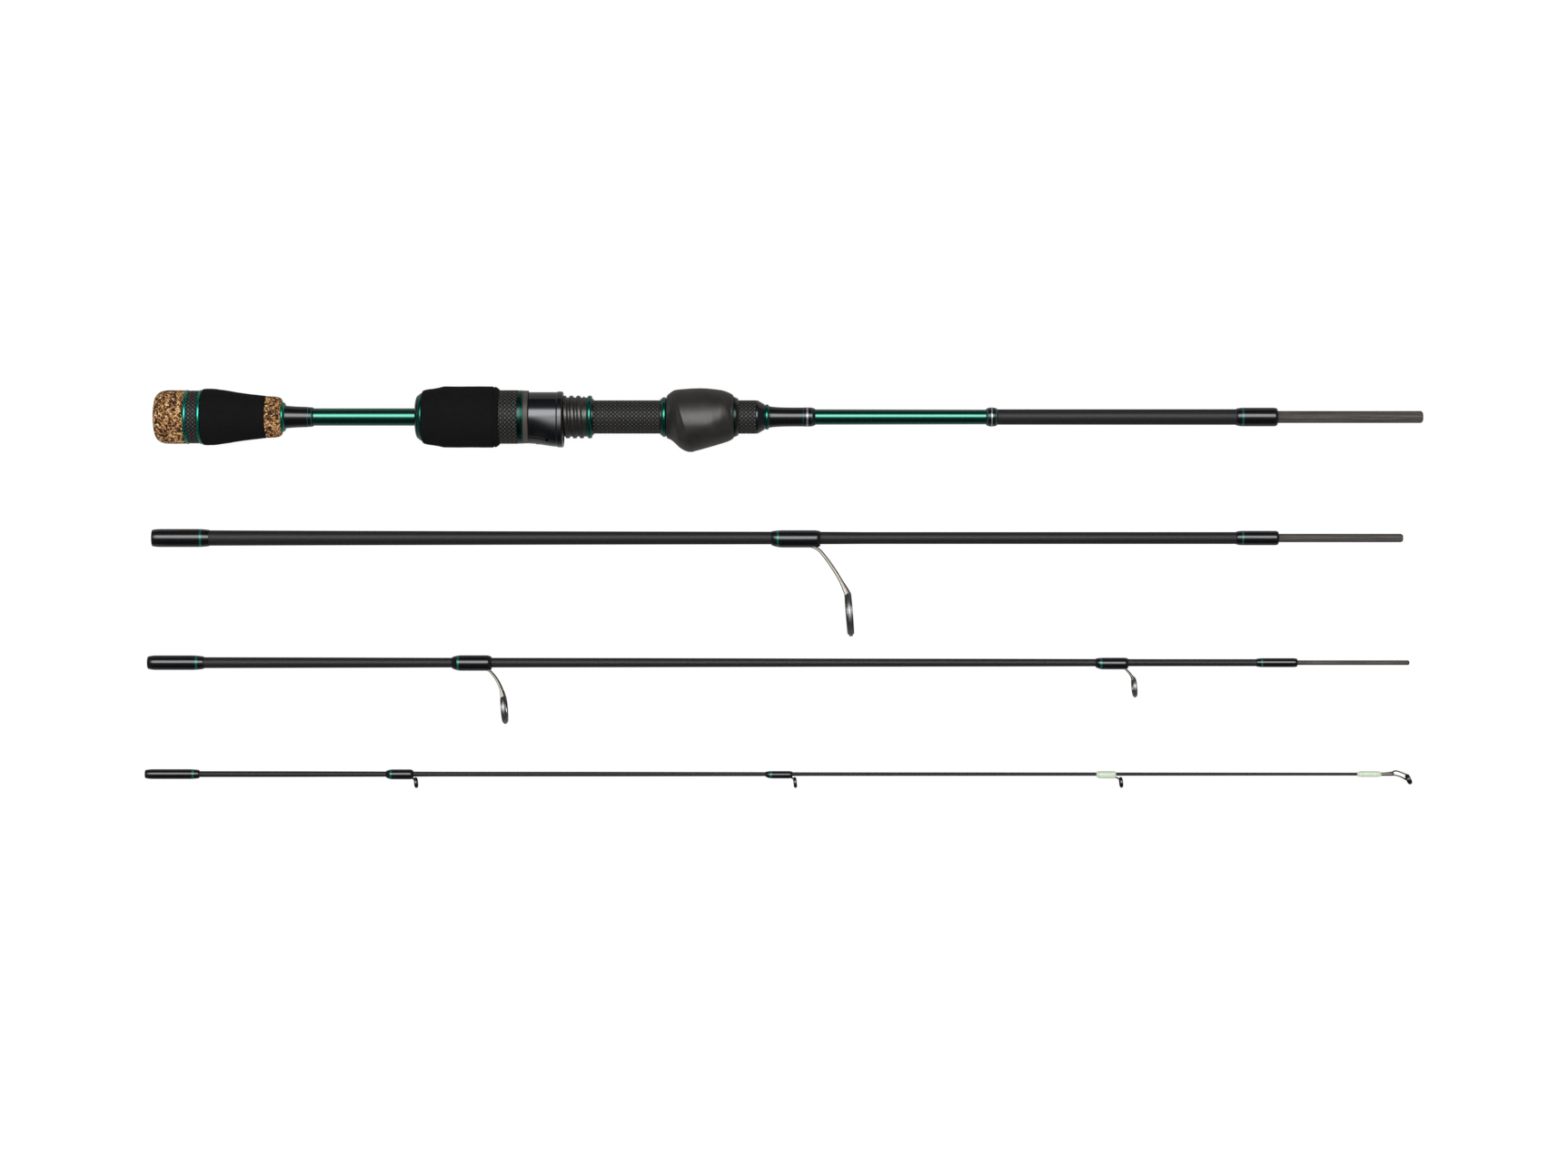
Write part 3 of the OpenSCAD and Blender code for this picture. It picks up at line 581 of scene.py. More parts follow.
def mat_steel(name, base, rough, streak=0.35):
    m = Mat(name)
    p = m.mm()
    tool = m.noise(m.mm((1.0, 0.35, 1.6)), 2.2, 3.0)
    slow = m.noise(p, 0.6, 2.0)
    col = m.mix(m.range(slow, 0.3, 0.7, 0.0, 1.0), base, tuple(c * 0.86 for c in base))
    m.set(Base_Color=col, Metallic=1.0, Roughness=m.range(tool, 0.3, 0.7, rough, rough + 0.09),
          Normal=m.bump(tool, 0.02, streak))
    return m.m


def mat_glow():
    m = Mat("glow_wrap")
    u, x = m.lathe()
    turns = m.math("SINE", m.math("MULTIPLY", m.math("ADD", m.math("MULTIPLY", x, 1 / 0.2), u), 2 * math.pi))
    slow = m.noise(m.mm(), 0.55, 2.0)
    col = m.mix(m.range(turns, -1, 1, 0.0, 1.0), (0.60, 0.71, 0.54), (0.69, 0.79, 0.62))
    col = m.mix(m.range(slow, 0.35, 0.7, 0.0, 0.16), col, (0.80, 0.88, 0.74))
    m.set(Base_Color=col, Roughness=0.4, Coat_Weight=0.5, Coat_Roughness=0.12, Normal=m.bump(turns, 0.02, 0.15),
          Subsurface_Weight=0.25, Subsurface_Radius=(0.6, 0.8, 0.5), Subsurface_Scale=0.0006)
    return m.m


def mat_arbor():
    m = Mat("arbor")
    p = m.mm()
    c = m.voronoi(p, 2.4)
    n = m.noise(p, 1.1, 3.0)
    m.set(Base_Color=m.mix(n, (0.52, 0.47, 0.36), (0.70, 0.66, 0.55)), Roughness=0.85,
          Normal=m.bump(c.outputs["Distance"], 0.08, 0.6), Specular_IOR_Level=0.2)
    return m.m


CORK, FOAM, GREEN, LACQUER = mat_cork(), mat_foam(), mat_green_metal(), mat_lacquer()
GREEN_DARK = mat_green_metal("green_metal_dark", (0.002, 0.030, 0.022), 0.30)
GREEN_LIGHT = mat_green_metal("green_metal_light", (0.008, 0.275, 0.190), 0.27)
GREEN_THREAD = mat_wrap("green_thread", (0.002, 0.085, 0.062), (0.010, 0.30, 0.22), 0.2, 1.0, 0.7, 0.35)
SILVER_THREAD = mat_wrap("silver_thread", (0.26, 0.27, 0.28), (0.66, 0.68, 0.70), 0.2, 1.0, 0.8, 0.32)
WEAVE_WIDE = mat_weave("woven_carbon_wide", 38, 1.66)
WEAVE_TUBE = mat_weave("woven_carbon_tube", 25, 1.62)
WRAP, BLANK, GRAPHITE = mat_wrap(), mat_matte_blank(), mat_graphite()
SEAT = mat_plastic("seat_plastic", (0.016, 0.0154, 0.0148), (0.024, 0.0230, 0.0218), 0.30, 0.78, 2.0, 0.02)
FOREGRIP = mat_plastic("foregrip_plastic", (0.0150, 0.0143, 0.0133), (0.0250, 0.0238, 0.0220), 0.38, 0.66, 3.6, 0.03)
GLOSS, WASHER = mat_gloss(), mat_plastic("washer", (0.068, 0.055, 0.050), (0.105, 0.088, 0.080), 0.42, 0.35, 1.6, 0.02)
STEEL, RING = mat_steel("guide_steel", (0.185, 0.165, 0.138), 0.22), mat_steel("guide_ring", (0.270, 0.262, 0.268), 0.20, 0.1)
# painted light: the hoop's steel is a lighter, rougher copy of the frame steel, so the hoop reads as lit
HOOP = mat_steel("guide_hoop", (0.330, 0.315, 0.300), 0.38, 0.2)
STEEL_SMALL = mat_steel("guide_steel_small", (0.105, 0.092, 0.078), 0.24)
STEEL_DARK = mat_steel("tip_steel", (0.062, 0.054, 0.046), 0.26)
RING_DARK = mat_steel("guide_ring_dark", (0.062, 0.048, 0.050), 0.10, 0.15)
GLOW, ARBOR = mat_glow(), mat_arbor()

# ------------------------------------------------------------------ butt section
TH160 = angles(160)


def cork_shell(profile, seg=160, bore=None, seed=0.0):
    """A turned cork piece whose surface has fine granules and pits."""
    st = []
    th = angles(seg)
    for x, r in profile:
        if r < 1e-6:
            st.append((x, 0.0))
            continue
        d = np.empty(seg)
        for i, t in enumerate(th):
            q = Vector((x, r * math.cos(t), r * math.sin(t)))
            dist = noise.voronoi(q * 0.95)[0]
            d[i] = -0.05 * max(0.0, 0.18 - (dist[1] - dist[0])) / 0.18 - 0.04 * max(0.0, noise.noise(q * 1.3 + Vector((seed, 0, 0))))
        st.append((x, r + d))
    return st


def build_handle():
    glue = 3.38
    # cap: a flat end with a soft crown, then a barrel side
    outer = [(0.42, 0.0), (0.42, 2.6)] + spline([(0.46, 3.6), (0.6, 5.4), (0.92, 7.1), (1.35, 8.2), (2.15, 9.15), (3.4, 9.85),
                                                 (5.0, 10.22), (7.0, 10.34), (10.0, 10.34), (12.4, 10.28)], 0.3) + [(12.6, 10.1)]
    outer = resample(outer, 0.33)
    tail = [(12.6, glue), (4.9, glue), (4.9, 0.0)]
    st = [(x, 0.0) if r < 1e-6 else (x, r) for x, r in outer]
    st = cork_shell(st) + tail
    Shell().turned(st, 160, closed=False).piece("cork_cap", 1, CORK, node="butt_cap", slot="cork", sharp=50)
    # trim rings and the woven band between them
    sh = Shell()
    for x in (12.6, 17.9):
        sh.turned(dome(x, x + 1.3, 10.02, 10.42, glue), 160)
    sh.piece("cap_trim_rings", 1, GREEN_LIGHT, node="butt_trim_rings", slot="green_metal")
    Shell().turned(resample(tube(13.92, 17.88, 10.16, glue, 0.12), 0.6, True), 160).piece(
        "cap_band", 1, WEAVE_WIDE, node="butt_band", slot="woven_carbon")
    # rear foam grip
    th = angles(128)
    prof = spline([(19.45, 10.78), (20.6, 10.87), (23.2, 10.86), (25.2, 10.66), (28.5, 10.2), (32, 9.58), (35.5, 9.1),
                   (39, 8.64), (42.6, 8.24), (43.35, 8.13)], 0.45)
    st = [(19.22, glue), (19.22, 10.45), (19.28, 10.62)] + [
        (x, r + wobble(x, th, 1.1, 0.045) + wobble(x, th, 5.0, 0.05, 3.0)) for x, r in prof] + [(43.6, 8.0), (43.6, glue)]
    Shell().turned(st, 128).piece("rear_foam_grip", 1, FOAM, node="rear_grip", slot="foam_grip", sharp=45)
    # cork collar
    prof = resample([(43.7, 7.95), (43.85, 8.06), (47.2, 7.9), (48.3, 7.7), (49.0, 7.4), (49.45, 6.95), (49.6, 6.5)], 0.3)
    st = [(43.7, glue)] + cork_shell(prof, 144, seed=4.0) + [(49.6, glue)]
    Shell().turned(st, 144).piece("cork_collar", 1, CORK, node="grip_collar", slot="cork", sharp=50)
    # winding check: a small dished ring
    Shell().turned(fillet([(49.62, glue), (49.62, 5.75, 0.4), (50.15, 5.8, 0.3), (51.0, 5.2, 0.35), (51.0, glue)], 5), 96).piece(
        "rear_check", 1, GREEN_LIGHT, node="rear_winding_check", slot="green_metal")
    # rear winding: glossy taper, then a lower clear step with two fine green threads
    prof = spline([(51.02, 4.42), (51.8, 4.33), (53.5, 4.18), (55.5, 4.05), (58.0, 3.96), (59.2, 3.93), (59.6, 3.86),
                   (60.2, 3.80), (60.9, 3.79), (61.4, 3.70), (61.8, 3.48), (61.95, 3.39)], 0.2)
    Shell().turned([(51.02, glue)] + prof + [(61.95, glue - 0.01)], 96).piece(
        "rear_winding", 1, WRAP, node="rear_wrap", slot="thread_wrap")
    sh = Shell()
    for x, r in ((59.75, 3.86), (61.15, 3.78)):
        sh.turned(fillet([(x - 0.14, 3.5), (x - 0.14, r + 0.02, 0.05), (x + 0.14, r + 0.02, 0.05), (x + 0.14, 3.5)], 3), 96)
    sh.piece("rear_winding_threads", 1, GREEN_THREAD, slot="green_metal")


def blank_shell(k, x0, x1, bore, seg=64, step=4.0, dr=0.0):
    xs = sorted(set([x0, x1] + [p[0] for p in CHART[k] if x0 < p[0] < x1] +
                    list(np.arange(x0, x1, step))))
    out = [(float(x), chart_r(k, x) + dr) for x in xs]
    return [(x0, bore)] + out + [(x1, bore)]


def build_blank_1():
    bore = 2.35
    st = blank_shell(1, 5.0, 322.9, bore, 96)
    Shell().turned(st, 96).piece("butt_blank_lacquered", 1, LACQUER, node="butt_blank", slot="lacquered_blank")
    st = blank_shell(1, 322.95, 433.0, bore, 96)
    Shell().turned(st, 96).piece("butt_blank_matte", 1, BLANK, node="butt_blank", slot="matte_blank")
    # deco ring where the lacquer ends: black winding, two green threads, one silver in the middle
    prof = spline([(320.75, 2.92), (321.0, 3.2), (321.6, 3.5), (322.4, 3.66), (323.0, 3.70), (323.6, 3.66),
                   (324.4, 3.5), (325.0, 3.22), (325.25, 2.98)], 0.12)
    Shell().turned([(320.75, 2.8)] + prof + [(325.25, 2.8)], 96).piece(
        "deco_ring_winding", 1, WRAP, node="blank_trim_ring", slot="thread_wrap")
    sh = Shell()
    for x, r, w in ((321.55, 3.47, 0.36), (324.45, 3.48, 0.36)):
        sh.turned(fillet([(x - w, 3.0), (x - w, r - 0.09, 0.08), (x, r + 0.06, 0.3), (x + w, r - 0.09, 0.08), (x + w, 3.0)], 4), 96)
    sh.piece("deco_ring_green", 1, GREEN_THREAD, node="blank_trim_ring", slot="green_metal")
    Shell().turned(fillet([(322.66, 3.2), (322.66, 3.71, 0.12), (323.34, 3.71, 0.12), (323.34, 3.2)], 4), 96).piece(
        "deco_ring_silver", 1, SILVER_THREAD, node="blank_trim_ring", slot="silver_wrap")


def build_seat():
    # threaded barrel with a real helix that fades in at both ends
    seg, x0, x1, pitch, depth, crest = 128, 114.0, 167.28, 2.7, 0.7, 8.24
    th = angles(seg)
    xs = np.arange(x0 + 0.25, x1 - 0.15, 0.15)
    st = [(x0, 5.46), (x0, 7.4)]
    for x in xs:
        ph = ((x - x0) / pitch - th / (2 * math.pi)) % 1.0
        tooth = smoothstep(0.06, 0.26, ph) * (1 - smoothstep(0.60, 0.84, ph))
        fade = smoothstep(x0 + 0.5, x0 + 2.2, x) * (1 - smoothstep(x1 - 1.7, x1 - 0.7, x))
        st.append((float(x), crest - depth + depth * tooth * fade))
    st += [(x1, 7.45), (x1, 5.46)]
    Shell().turned(st, seg).piece("threaded_barrel", 1, SEAT, node="seat_barrel", slot="seat_plastic", sharp=60)
    Shell().turned(dome(167.3, 169.15, 7.66, 8.3, 5.46), 128).piece(
        "barrel_ring", 1, GREEN, node="barrel_end_ring", slot="green_metal")
    Shell().turned(fillet([(169.17, 5.46), (169.17, 7.05, 0.15), (169.74, 6.95, 0.2), (169.74, 5.46)], 3), 128).piece(
        "barrel_step_ring", 1, GLOSS, node="barrel_end_ring", slot="black_gloss")
    Shell().turned(resample(tube(169.76, 195.88, 6.42, 5.46, 0.08), 1.2, True), 128).piece(
        "seat_carbon_tube", 1, WEAVE_TUBE, node="seat_tube", slot="woven_carbon")
    Shell().turned(dome(195.92, 197.78, 7.05, 7.68, 5.46), 128).piece(
        "seat_ring", 1, GREEN, node="seat_front_ring", slot="green_metal")
    # behind the front ring, a thin black lip
    Shell().turned(fillet([(195.35, 6.2), (195.35, 6.95, 0.2), (195.9, 7.05, 0.15), (195.9, 6.2)], 3), 128).piece(
        "seat_ring_lip", 1, GLOSS, slot="black_gloss")
    # front end: ring, sleeve, taper, check, winding
    Shell().turned(fillet([(223.62, 5.46), (223.62, 7.72, 0.12), (224.25, 7.72, 0.12), (224.25, 5.46)], 3), 128).piece(
        "foregrip_trim", 1, GREEN_DARK, node="foregrip_end_ring", slot="green_metal")
    Shell().turned(fillet([(224.27, 5.46), (224.27, 7.55, 0.15), (225.1, 7.3, 0.3), (225.48, 6.9, 0.2), (225.48, 5.46)], 4), 128).piece(
        "foregrip_ring", 1, GLOSS, node="foregrip_end_ring", slot="black_gloss")
    Shell().turned(resample(tube(225.5, 232.18, 6.44, 3.38, 0.1), 1.0, True), 128).piece(
        "front_carbon_sleeve", 1, WEAVE_TUBE, node="front_sleeve", slot="woven_carbon")
    prof = fillet([(232.2, 3.38), (232.2, 6.46, 0.25), (233.0, 6.36, 0.4), (234.5, 5.5, 0.8), (235.55, 4.9, 0.15), (235.55, 3.38)], 6)
    Shell().turned(prof, 128).piece("taper_ring", 1, GLOSS, node="front_taper_ring", slot="black_gloss")
    Shell().turned(fillet([(232.72, 6.0), (232.72, 6.44, 0.06), (233.0, 6.4, 0.06), (233.0, 6.0)], 3), 128).piece(
        "taper_ring_line", 1, GREEN_DARK, slot="green_metal")
    Shell().turned(dome(235.58, 237.18, 4.36, 4.88, 3.36), 96).piece(
        "front_check", 1, GREEN, node="front_winding_check", slot="green_metal")
    prof = spline([(237.2, 4.22), (238.2, 4.02), (240.0, 3.84), (242.5, 3.72), (246.0, 3.66), (249.2, 3.66), (250.3, 3.68),
                   (252.0, 3.72), (253.5, 3.66), (254.4, 3.42), (254.95, 3.14), (255.1, 3.03)], 0.25)
    Shell().turned([(237.2, 3.1)] + prof + [(255.1, 2.9)], 96).piece(
        "front_winding", 1, WRAP, node=("front_wrap", "front_wrap_band"), slot="thread_wrap")
    Shell().turned(fillet([(251.55, 3.3), (251.55, 3.72, 0.08), (252.35, 3.73, 0.08), (252.35, 3.3)], 3), 96).piece(
        "front_winding_silver", 1, SILVER_THREAD, node="front_wrap_band", slot="silver_wrap")
    sh = Shell()
    for x, r in ((250.45, 3.695), (253.75, 3.63)):
        sh.turned(fillet([(x - 0.17, 3.2), (x - 0.17, r, 0.05), (x + 0.17, r - 0.02, 0.05), (x + 0.17, 3.2)], 3), 96)
    sh.piece("front_winding_threads", 1, GREEN_THREAD, slot="green_metal")


# top and bottom outline of the foregrip, from its rear face to its front face
FG_TOP = [(197.82, 7.9), (198.2, 8.6), (199.3, 9.55), (200.3, 10.2), (201.3, 10.48), (203, 10.68), (205.2, 10.86),
          (207.5, 11.02), (210.5, 11.12), (213.2, 11.04), (216, 10.76), (218.9, 10.38), (220.3, 9.98), (221.6, 9.5),
          (222.6, 9.0), (223.3, 8.5), (223.6, 8.1)]
FG_BOT = [(197.82, 8.0), (198.2, 8.3), (199.3, 8.85), (200.3, 9.55), (201.3, 10.5), (202.4, 11.6), (203.5, 12.4),
          (204.5, 12.98), (205.3, 13.32), (206.1, 13.55), (206.9, 13.6), (207.7, 13.5), (209, 13.08), (210.5, 12.72),
          (213.2, 11.95), (216, 11.15), (218.9, 10.3), (220.3, 9.85), (221.6, 9.4), (222.6, 8.9), (223.3, 8.4), (223.6, 8.1)]


def egg_radius(th, top, bottom, half, c0):
    """Outline round the axis of an egg: widest at height c0, reaching top above and bottom below."""
    c, s = np.cos(th), np.sin(th)

    def part(b):
        a = c * c / b ** 2 + s * s / half ** 2
        k = c * c0 / b ** 2
        return (k + np.sqrt(np.maximum(k * k - a * (c0 ** 2 / b ** 2 - 1), 0))) / a
    upper, lower = part(top - c0), part(bottom + c0)
    return np.where(upper * c >= c0, upper, lower)


def cut_with(o, cutter_shell, name):
    """Cuts a closed shell out of a piece, before it rides."""
    V = np.concatenate(cutter_shell.v) * MM
    me = bpy.data.meshes.new(name)
    me.from_pydata(V.tolist(), [], cutter_shell.f)
    c = bpy.data.objects.new(name, me)
    bpy.context.scene.collection.objects.link(c)
    md = o.modifiers.new("cut", "BOOLEAN")
    md.operation, md.solver, md.object = "DIFFERENCE", "EXACT", c
    bpy.context.view_layer.update()
    dg = bpy.context.evaluated_depsgraph_get()
    out = bpy.data.meshes.new_from_object(o.evaluated_get(dg), depsgraph=dg)
    o.modifiers.clear()
    old = o.data
    o.data = out
    bpy.data.meshes.remove(old)
    bpy.data.objects.remove(c)
    bpy.data.meshes.remove(me)
    return o


def prism(points, x0, x1):
    """A closed prism along X from a (y, z) outline."""
    n = len(points)
    V = [(x0, y, z) for y, z in points] + [(x1, y, z) for y, z in points]
    F = [list(range(n))[::-1], [n + i for i in range(n)]]
    for i in range(n):
        j = (i + 1) % n
        F.append([i, j, n + j, n + i])
    return Shell().add(V, F)


def lens(cy, r, top_y, n=24):
    """Outline of the pocket: a circle's lower part, flat at top_y."""
    half = math.acos(max(-1, min(1, (cy - top_y) / r)))
    pts = []
    for i in range(n + 1):
        a = -half + 2 * half * i / n
        pts.append((cy - r * math.cos(a), r * math.sin(a)))
    return pts


def build_foregrip():
    seg = 176
    th = angles(seg)
    xs = sorted(set([p[0] for p in FG_TOP] + [p[0] for p in FG_BOT] + [round(v, 3) for v in np.arange(197.9, 223.6, 0.2)]))
    tx, tr = zip(*FG_TOP)
    bx, br = zip(*FG_BOT)
    st = [(197.82, 5.46)]
    for x in xs:
        top, bot = float(np.interp(x, tx, tr)), float(np.interp(x, bx, br))
        # widest a little below the axis, where the palm rests
        k = float(smoothstep(198.4, 202.5, x) * (1 - smoothstep(213.0, 221.8, x)))
        r = egg_radius(th, top, bot, 0.5 * (top + min(bot, top + 0.5)), -2.6 * k)
        y = r * np.cos(th)
        # slanted crease behind the grip's widest part; the cheek behind it falls away
        line = 200.9 + (9.2 - y) * (6.2 / 22.0)
        s = x - line
        flank = np.sin(th) ** 2
        step = (0.10 + 0.10 * flank) * (1 - smoothstep(-0.30, 0.0, s))
        fall = np.minimum(0.31 * np.clip(-s, 0, None), 1.45) * flank
        r = r - (step + fall) * smoothstep(197.9, 199.0, x)
        # curved crease towards the front end
        line2 = 222.6 - 5.4 * np.clip((y + 5) / 15.5, 0, 1) ** 2
        s2 = x - line2
        shoulder = smoothstep(-0.1, 0.45, s2) * np.clip((y + 7.5) / 8, 0, 1)
        away = np.minimum(0.24 * np.clip(s2, 0, None), 0.9) * np.clip((y + 7.5) / 8, 0, 1)
        r = r - flank * (0.22 * shoulder + away) * (1 - smoothstep(222.2, 223.5, x))
        st.append((x, r))
    st.append((223.6, 5.46))
    sh = Shell().turned(st, seg)
    V = np.concatenate(sh.v) * MM
    me = bpy.data.meshes.new("foregrip_body")
    me.from_pydata(V.tolist(), [], sh.f)
    layer = me.uv_layers.new(name="lathe")
    layer.data.foreach_set("uv", np.asarray(sh.uv, np.float32).ravel())
    me.materials.append(FOREGRIP)
    o = bpy.data.objects.new("foregrip_body", me)
    bpy.context.scene.collection.objects.link(o)
    cut_with(o, prism(lens(-3.7, 6.6, -8.3), 190, 211.6), "pocket_cutter")
    o.data.shade_smooth()
    o.data.set_sharp_from_angle(angle=math.radians(32))
    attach(o, "butt_section")
    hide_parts("foregrip")


def build_hood():
    seg, x0, x1, bore = 160, 144.72, 158.0, 8.37
    th = angles(seg)
    cy, cr = -2.7, 7.9
    b = np.cos(th) * cy
    pocket = np.maximum(bore, b + np.sqrt(np.maximum(b * b - cy * cy + cr * cr, 0)))
    st = [(x0, bore)]
    xs = [144.72, 144.8, 144.95, 145.2] + list(np.arange(145.6, 155.4, 0.4)) + [
        155.5, 155.65, 155.8, 155.95, 156.2, 156.6, 157.0, 157.35, 157.6, 157.78, 157.9, 157.97, 158.0]
    for x in xs:
        k = float(smoothstep(145.0, 156.5, x))
        bot = 10.25 + (11.45 - 10.25) * k
        top = 9.6
        lip = 0.26 * float(smoothstep(155.55, 155.95, x))
        end = 0.0
        if x < 145.2:
            end = 0.32 * (1 - math.sqrt(max(0, 1 - (1 - (x - 144.72) / 0.48) ** 2)))
        if x > 157.35:
            end = 0.55 * (1 - math.sqrt(max(0, 1 - ((x - 157.35) / 0.65) ** 2)))
        # the keel's flank carries a shallow flare towards the mouth
        n = 2.0 + 1.1 * float(smoothstep(144.7, 156.5, x))
        c, q = np.cos(th), np.abs(np.sin(th))
        low = np.maximum((np.clip(-c, 0, 1) / bot) ** n + (q / top) ** n, 1e-9)
        r = np.where(c < 0, low ** (-1 / n), top) + lip - end
        st.append((float(x), r))
    inner = [(158.0, pocket + 0.12), (157.85, pocket), (147.65, pocket), (147.6, np.full(seg, bore + 0.01)), ]
    st += inner
    sh = Shell().turned(st, seg)
    V = np.concatenate(sh.v) * MM
    me = bpy.data.meshes.new("hood_body")
    me.from_pydata(V.tolist(), [], sh.f)
    layer = me.uv_layers.new(name="lathe")
    layer.data.foreach_set("uv", np.asarray(sh.uv, np.float32).ravel())
    me.materials.append(GLOSS)
    o = bpy.data.objects.new("hood_body", me)
    bpy.context.scene.collection.objects.link(o)
    # a small round dimple on each flank of the pocket
    for side in (-1, 1):
        dim = Shell()
        st2 = fillet([(-1.0, 0.0), (-1.0, 0.85), (1.0, 0.85), (1.0, 0.0)], 2, closed=False)

        def place(P, side=side):
            u = np.array([0.0, -math.cos(math.radians(36)), side * math.sin(math.radians(36))])
            v = np.array([1.0, 0.0, 0.0])
            w = np.cross(u, v)
            c = np.array([152.2, 0.0, 0.0]) + u * 10.75
            return c + P[:, :1] * u * 0.8 + P[:, 1:2] * v + P[:, 2:3] * w
        dim.turned(st2, 24, closed=False, place=place)
        cut_with(o, dim, "dimple_cutter")
    o.data.shade_smooth()
    o.data.set_sharp_from_angle(angle=math.radians(40))
    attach(o, "sliding_hood")
    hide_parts("hood")
    Shell().turned(fillet([(142.84, 8.37), (142.84, 10.16, 0.14), (144.7, 10.16, 0.14), (144.7, 8.37)], 4), 128).piece(
        "thrust_washer", 1, WASHER, body="sliding_hood", node="hood_washer", slot="washer")


def build_nut():
    b = "lock_nut"
    Shell().turned(fillet([(101.12, 3.62, 0.1), (101.12, 6.6, 0.7), (101.7, 8.15, 0.5), (102.4, 8.5, 0.1), (102.4, 3.62)], 6), 128).piece(
        "nut_dome", 1, GLOSS, body=b, node="nut_end_cap", slot="black_gloss")
    Shell().turned(fillet([(102.42, 3.62), (102.42, 8.75, 0.3), (103.2, 9.15, 0.35), (103.68, 9.2, 0.1), (103.68, 3.62)], 5), 128).piece(
        "nut_rear_ring", 1, GREEN, body=b, node="nut_end_ring", slot="green_metal")
    th = angles(144)
    prof = spline([(103.95, 10.0), (104.4, 10.3), (105.6, 10.62), (107.6, 10.9), (109.5, 11.2), (110.9, 11.5), (112.0, 11.74),
                   (113.4, 11.78), (120, 11.78), (127, 11.78), (130.6, 11.76)], 0.5)
    st = [(103.72, 9.34), (103.72, 9.75)] + [(x, r + wobble(x, th, 1.1, 0.04, 7.0) + wobble(x, th, 6.0, 0.05, 9.0)) for x, r in prof]
    st += [(131.05, 11.72), (131.25, 11.5), (131.45, 11.45), (131.65, 11.5), (131.85, 11.66)]
    st += [(x, r + wobble(x, th, 1.1, 0.03, 7.0)) for x, r in ((132.2, 11.55), (132.6, 11.3), (133.0, 11.0), (133.3, 10.75))]
    st += [(133.48, 10.5), (133.48, 9.34)]
    Shell().turned(st, 144).piece("nut_foam_grip", 1, FOAM, body=b, node="nut_grip", slot="foam_grip", sharp=50)
    Shell().turned(resample(tube(133.52, 140.48, 10.34, 9.34, 0.08), 0.9, True), 160).piece(
        "nut_carbon_sleeve", 1, WEAVE_WIDE, body=b, node="nut_sleeve", slot="woven_carbon")
    Shell().turned(fillet([(140.52, 8.37), (140.52, 10.27, 0.12), (142.1, 10.27, 0.15), (142.2, 10.1, 0.05), (142.2, 8.37)], 3), 128).piece(
        "nut_dark_ring", 1, GREEN_DARK, body=b, node="nut_front_ring", slot="green_metal")
    Shell().turned(dome(142.22, 142.78, 10.1, 10.32, 8.37, 8), 128).piece(
        "nut_bright_ring", 1, GREEN, body=b, node="nut_front_ring", slot="green_metal")


# ------------------------------------------------------------------ windings
def wrap_profile(k, x0, x1, r, e0, e1, base=0.0, step=0.22):
    """Outer line of a resin-coated winding: low ends, full middle."""
    out = []
    n = max(8, int((x1 - x0) / step))
    for i in range(n + 1):
        x = x0 + (x1 - x0) * i / n
        a = chart_r(k, x) + 0.01
        h = r - a
        t = min(1.0, (x - x0) / e0)
        u = min(1.0, (x1 - x) / e1)
        f = (0.30 + 0.70 * math.sin(math.pi / 2 * t) ** 0.75) if t > 0 else 0.22
        g = (0.30 + 0.70 * math.sin(math.pi / 2 * u) ** 0.75) if u > 0 else 0.22
        out.append((x, a + h * min(f, g)))
    return out


def profile_r(prof, x):
    return float(np.interp(x, [p[0] for p in prof], [p[1] for p in prof]))


def add_wrap(sh, k, x0, x1, r, e0, e1, seg=72):
    prof = wrap_profile(k, x0, x1, r, e0, e1)
    sh.turned([(x0, chart_r(k, x0) - 0.05)] + prof + [(x1, chart_r(k, x1) - 0.05)], seg)
    return prof


def add_band(sh, prof, x, w=0.42, cy=0.0, dr=0.02, seg=72):
    r0, r1, r2 = (profile_r(prof, v) + dr for v in (x - w, x, x + w))
    def place(P):
        P = P.copy()
        P[:, 1] += cy
        return P
    sh.turned(fillet([(x - w, r1 - 0.5), (x - w, r0, 0.05), (x, r1, 0.2), (x + w, r2, 0.05), (x + w, r1 - 0.5)], 3), seg, place=place)


GUIDES = {
    1: [239, 257.9, 3.35, -0.34, 241.5, 255.2, -2.86, 269.1, -29.2, 8.8, 4.5, 1.5, 0.75, 0.62, 2.6, 2.6, 27],
    2: [117.7, 133, 3.02, -0.12, 120.1, 131.3, -2.24, 137.9, -17.9, 5.8, 4.7, 1.2, 0.55, 0.46, 2.1, 2, 34],
    3: [366.6, 379.2, 2.28, -0.33, 368.7, 377.2, -1.78, 381.6, -9.5, 3.95, 5, 1, 0.45, 0.36, 1.7, 1.6, 38],
    4: [93.4, 104, 1.95, -0.1, 95.3, 103, -1.38, 105, -3.3, 2.12, 6, 0.8, 0.3, 0.26, 1.3, 1.1, 62],
    5: [240.5, 251, 1.45, -0.25, 242.6, 250, -1.12, 252, -3.25, 2.12, 6, 0.8, 0.3, 0.26, 1.3, 1.1, 62],
    6: [368.8, 376.4, 1.42, -0.25, 0, 375.6, -1.02, 378.4, -3.2, 2.12, 6, 0.8, 0.3, 0.26, 1.3, 1.1, 62],
}
GUIDE_SEC = {1: 2, 2: 3, 3: 3, 4: 4, 5: 4, 6: 4}


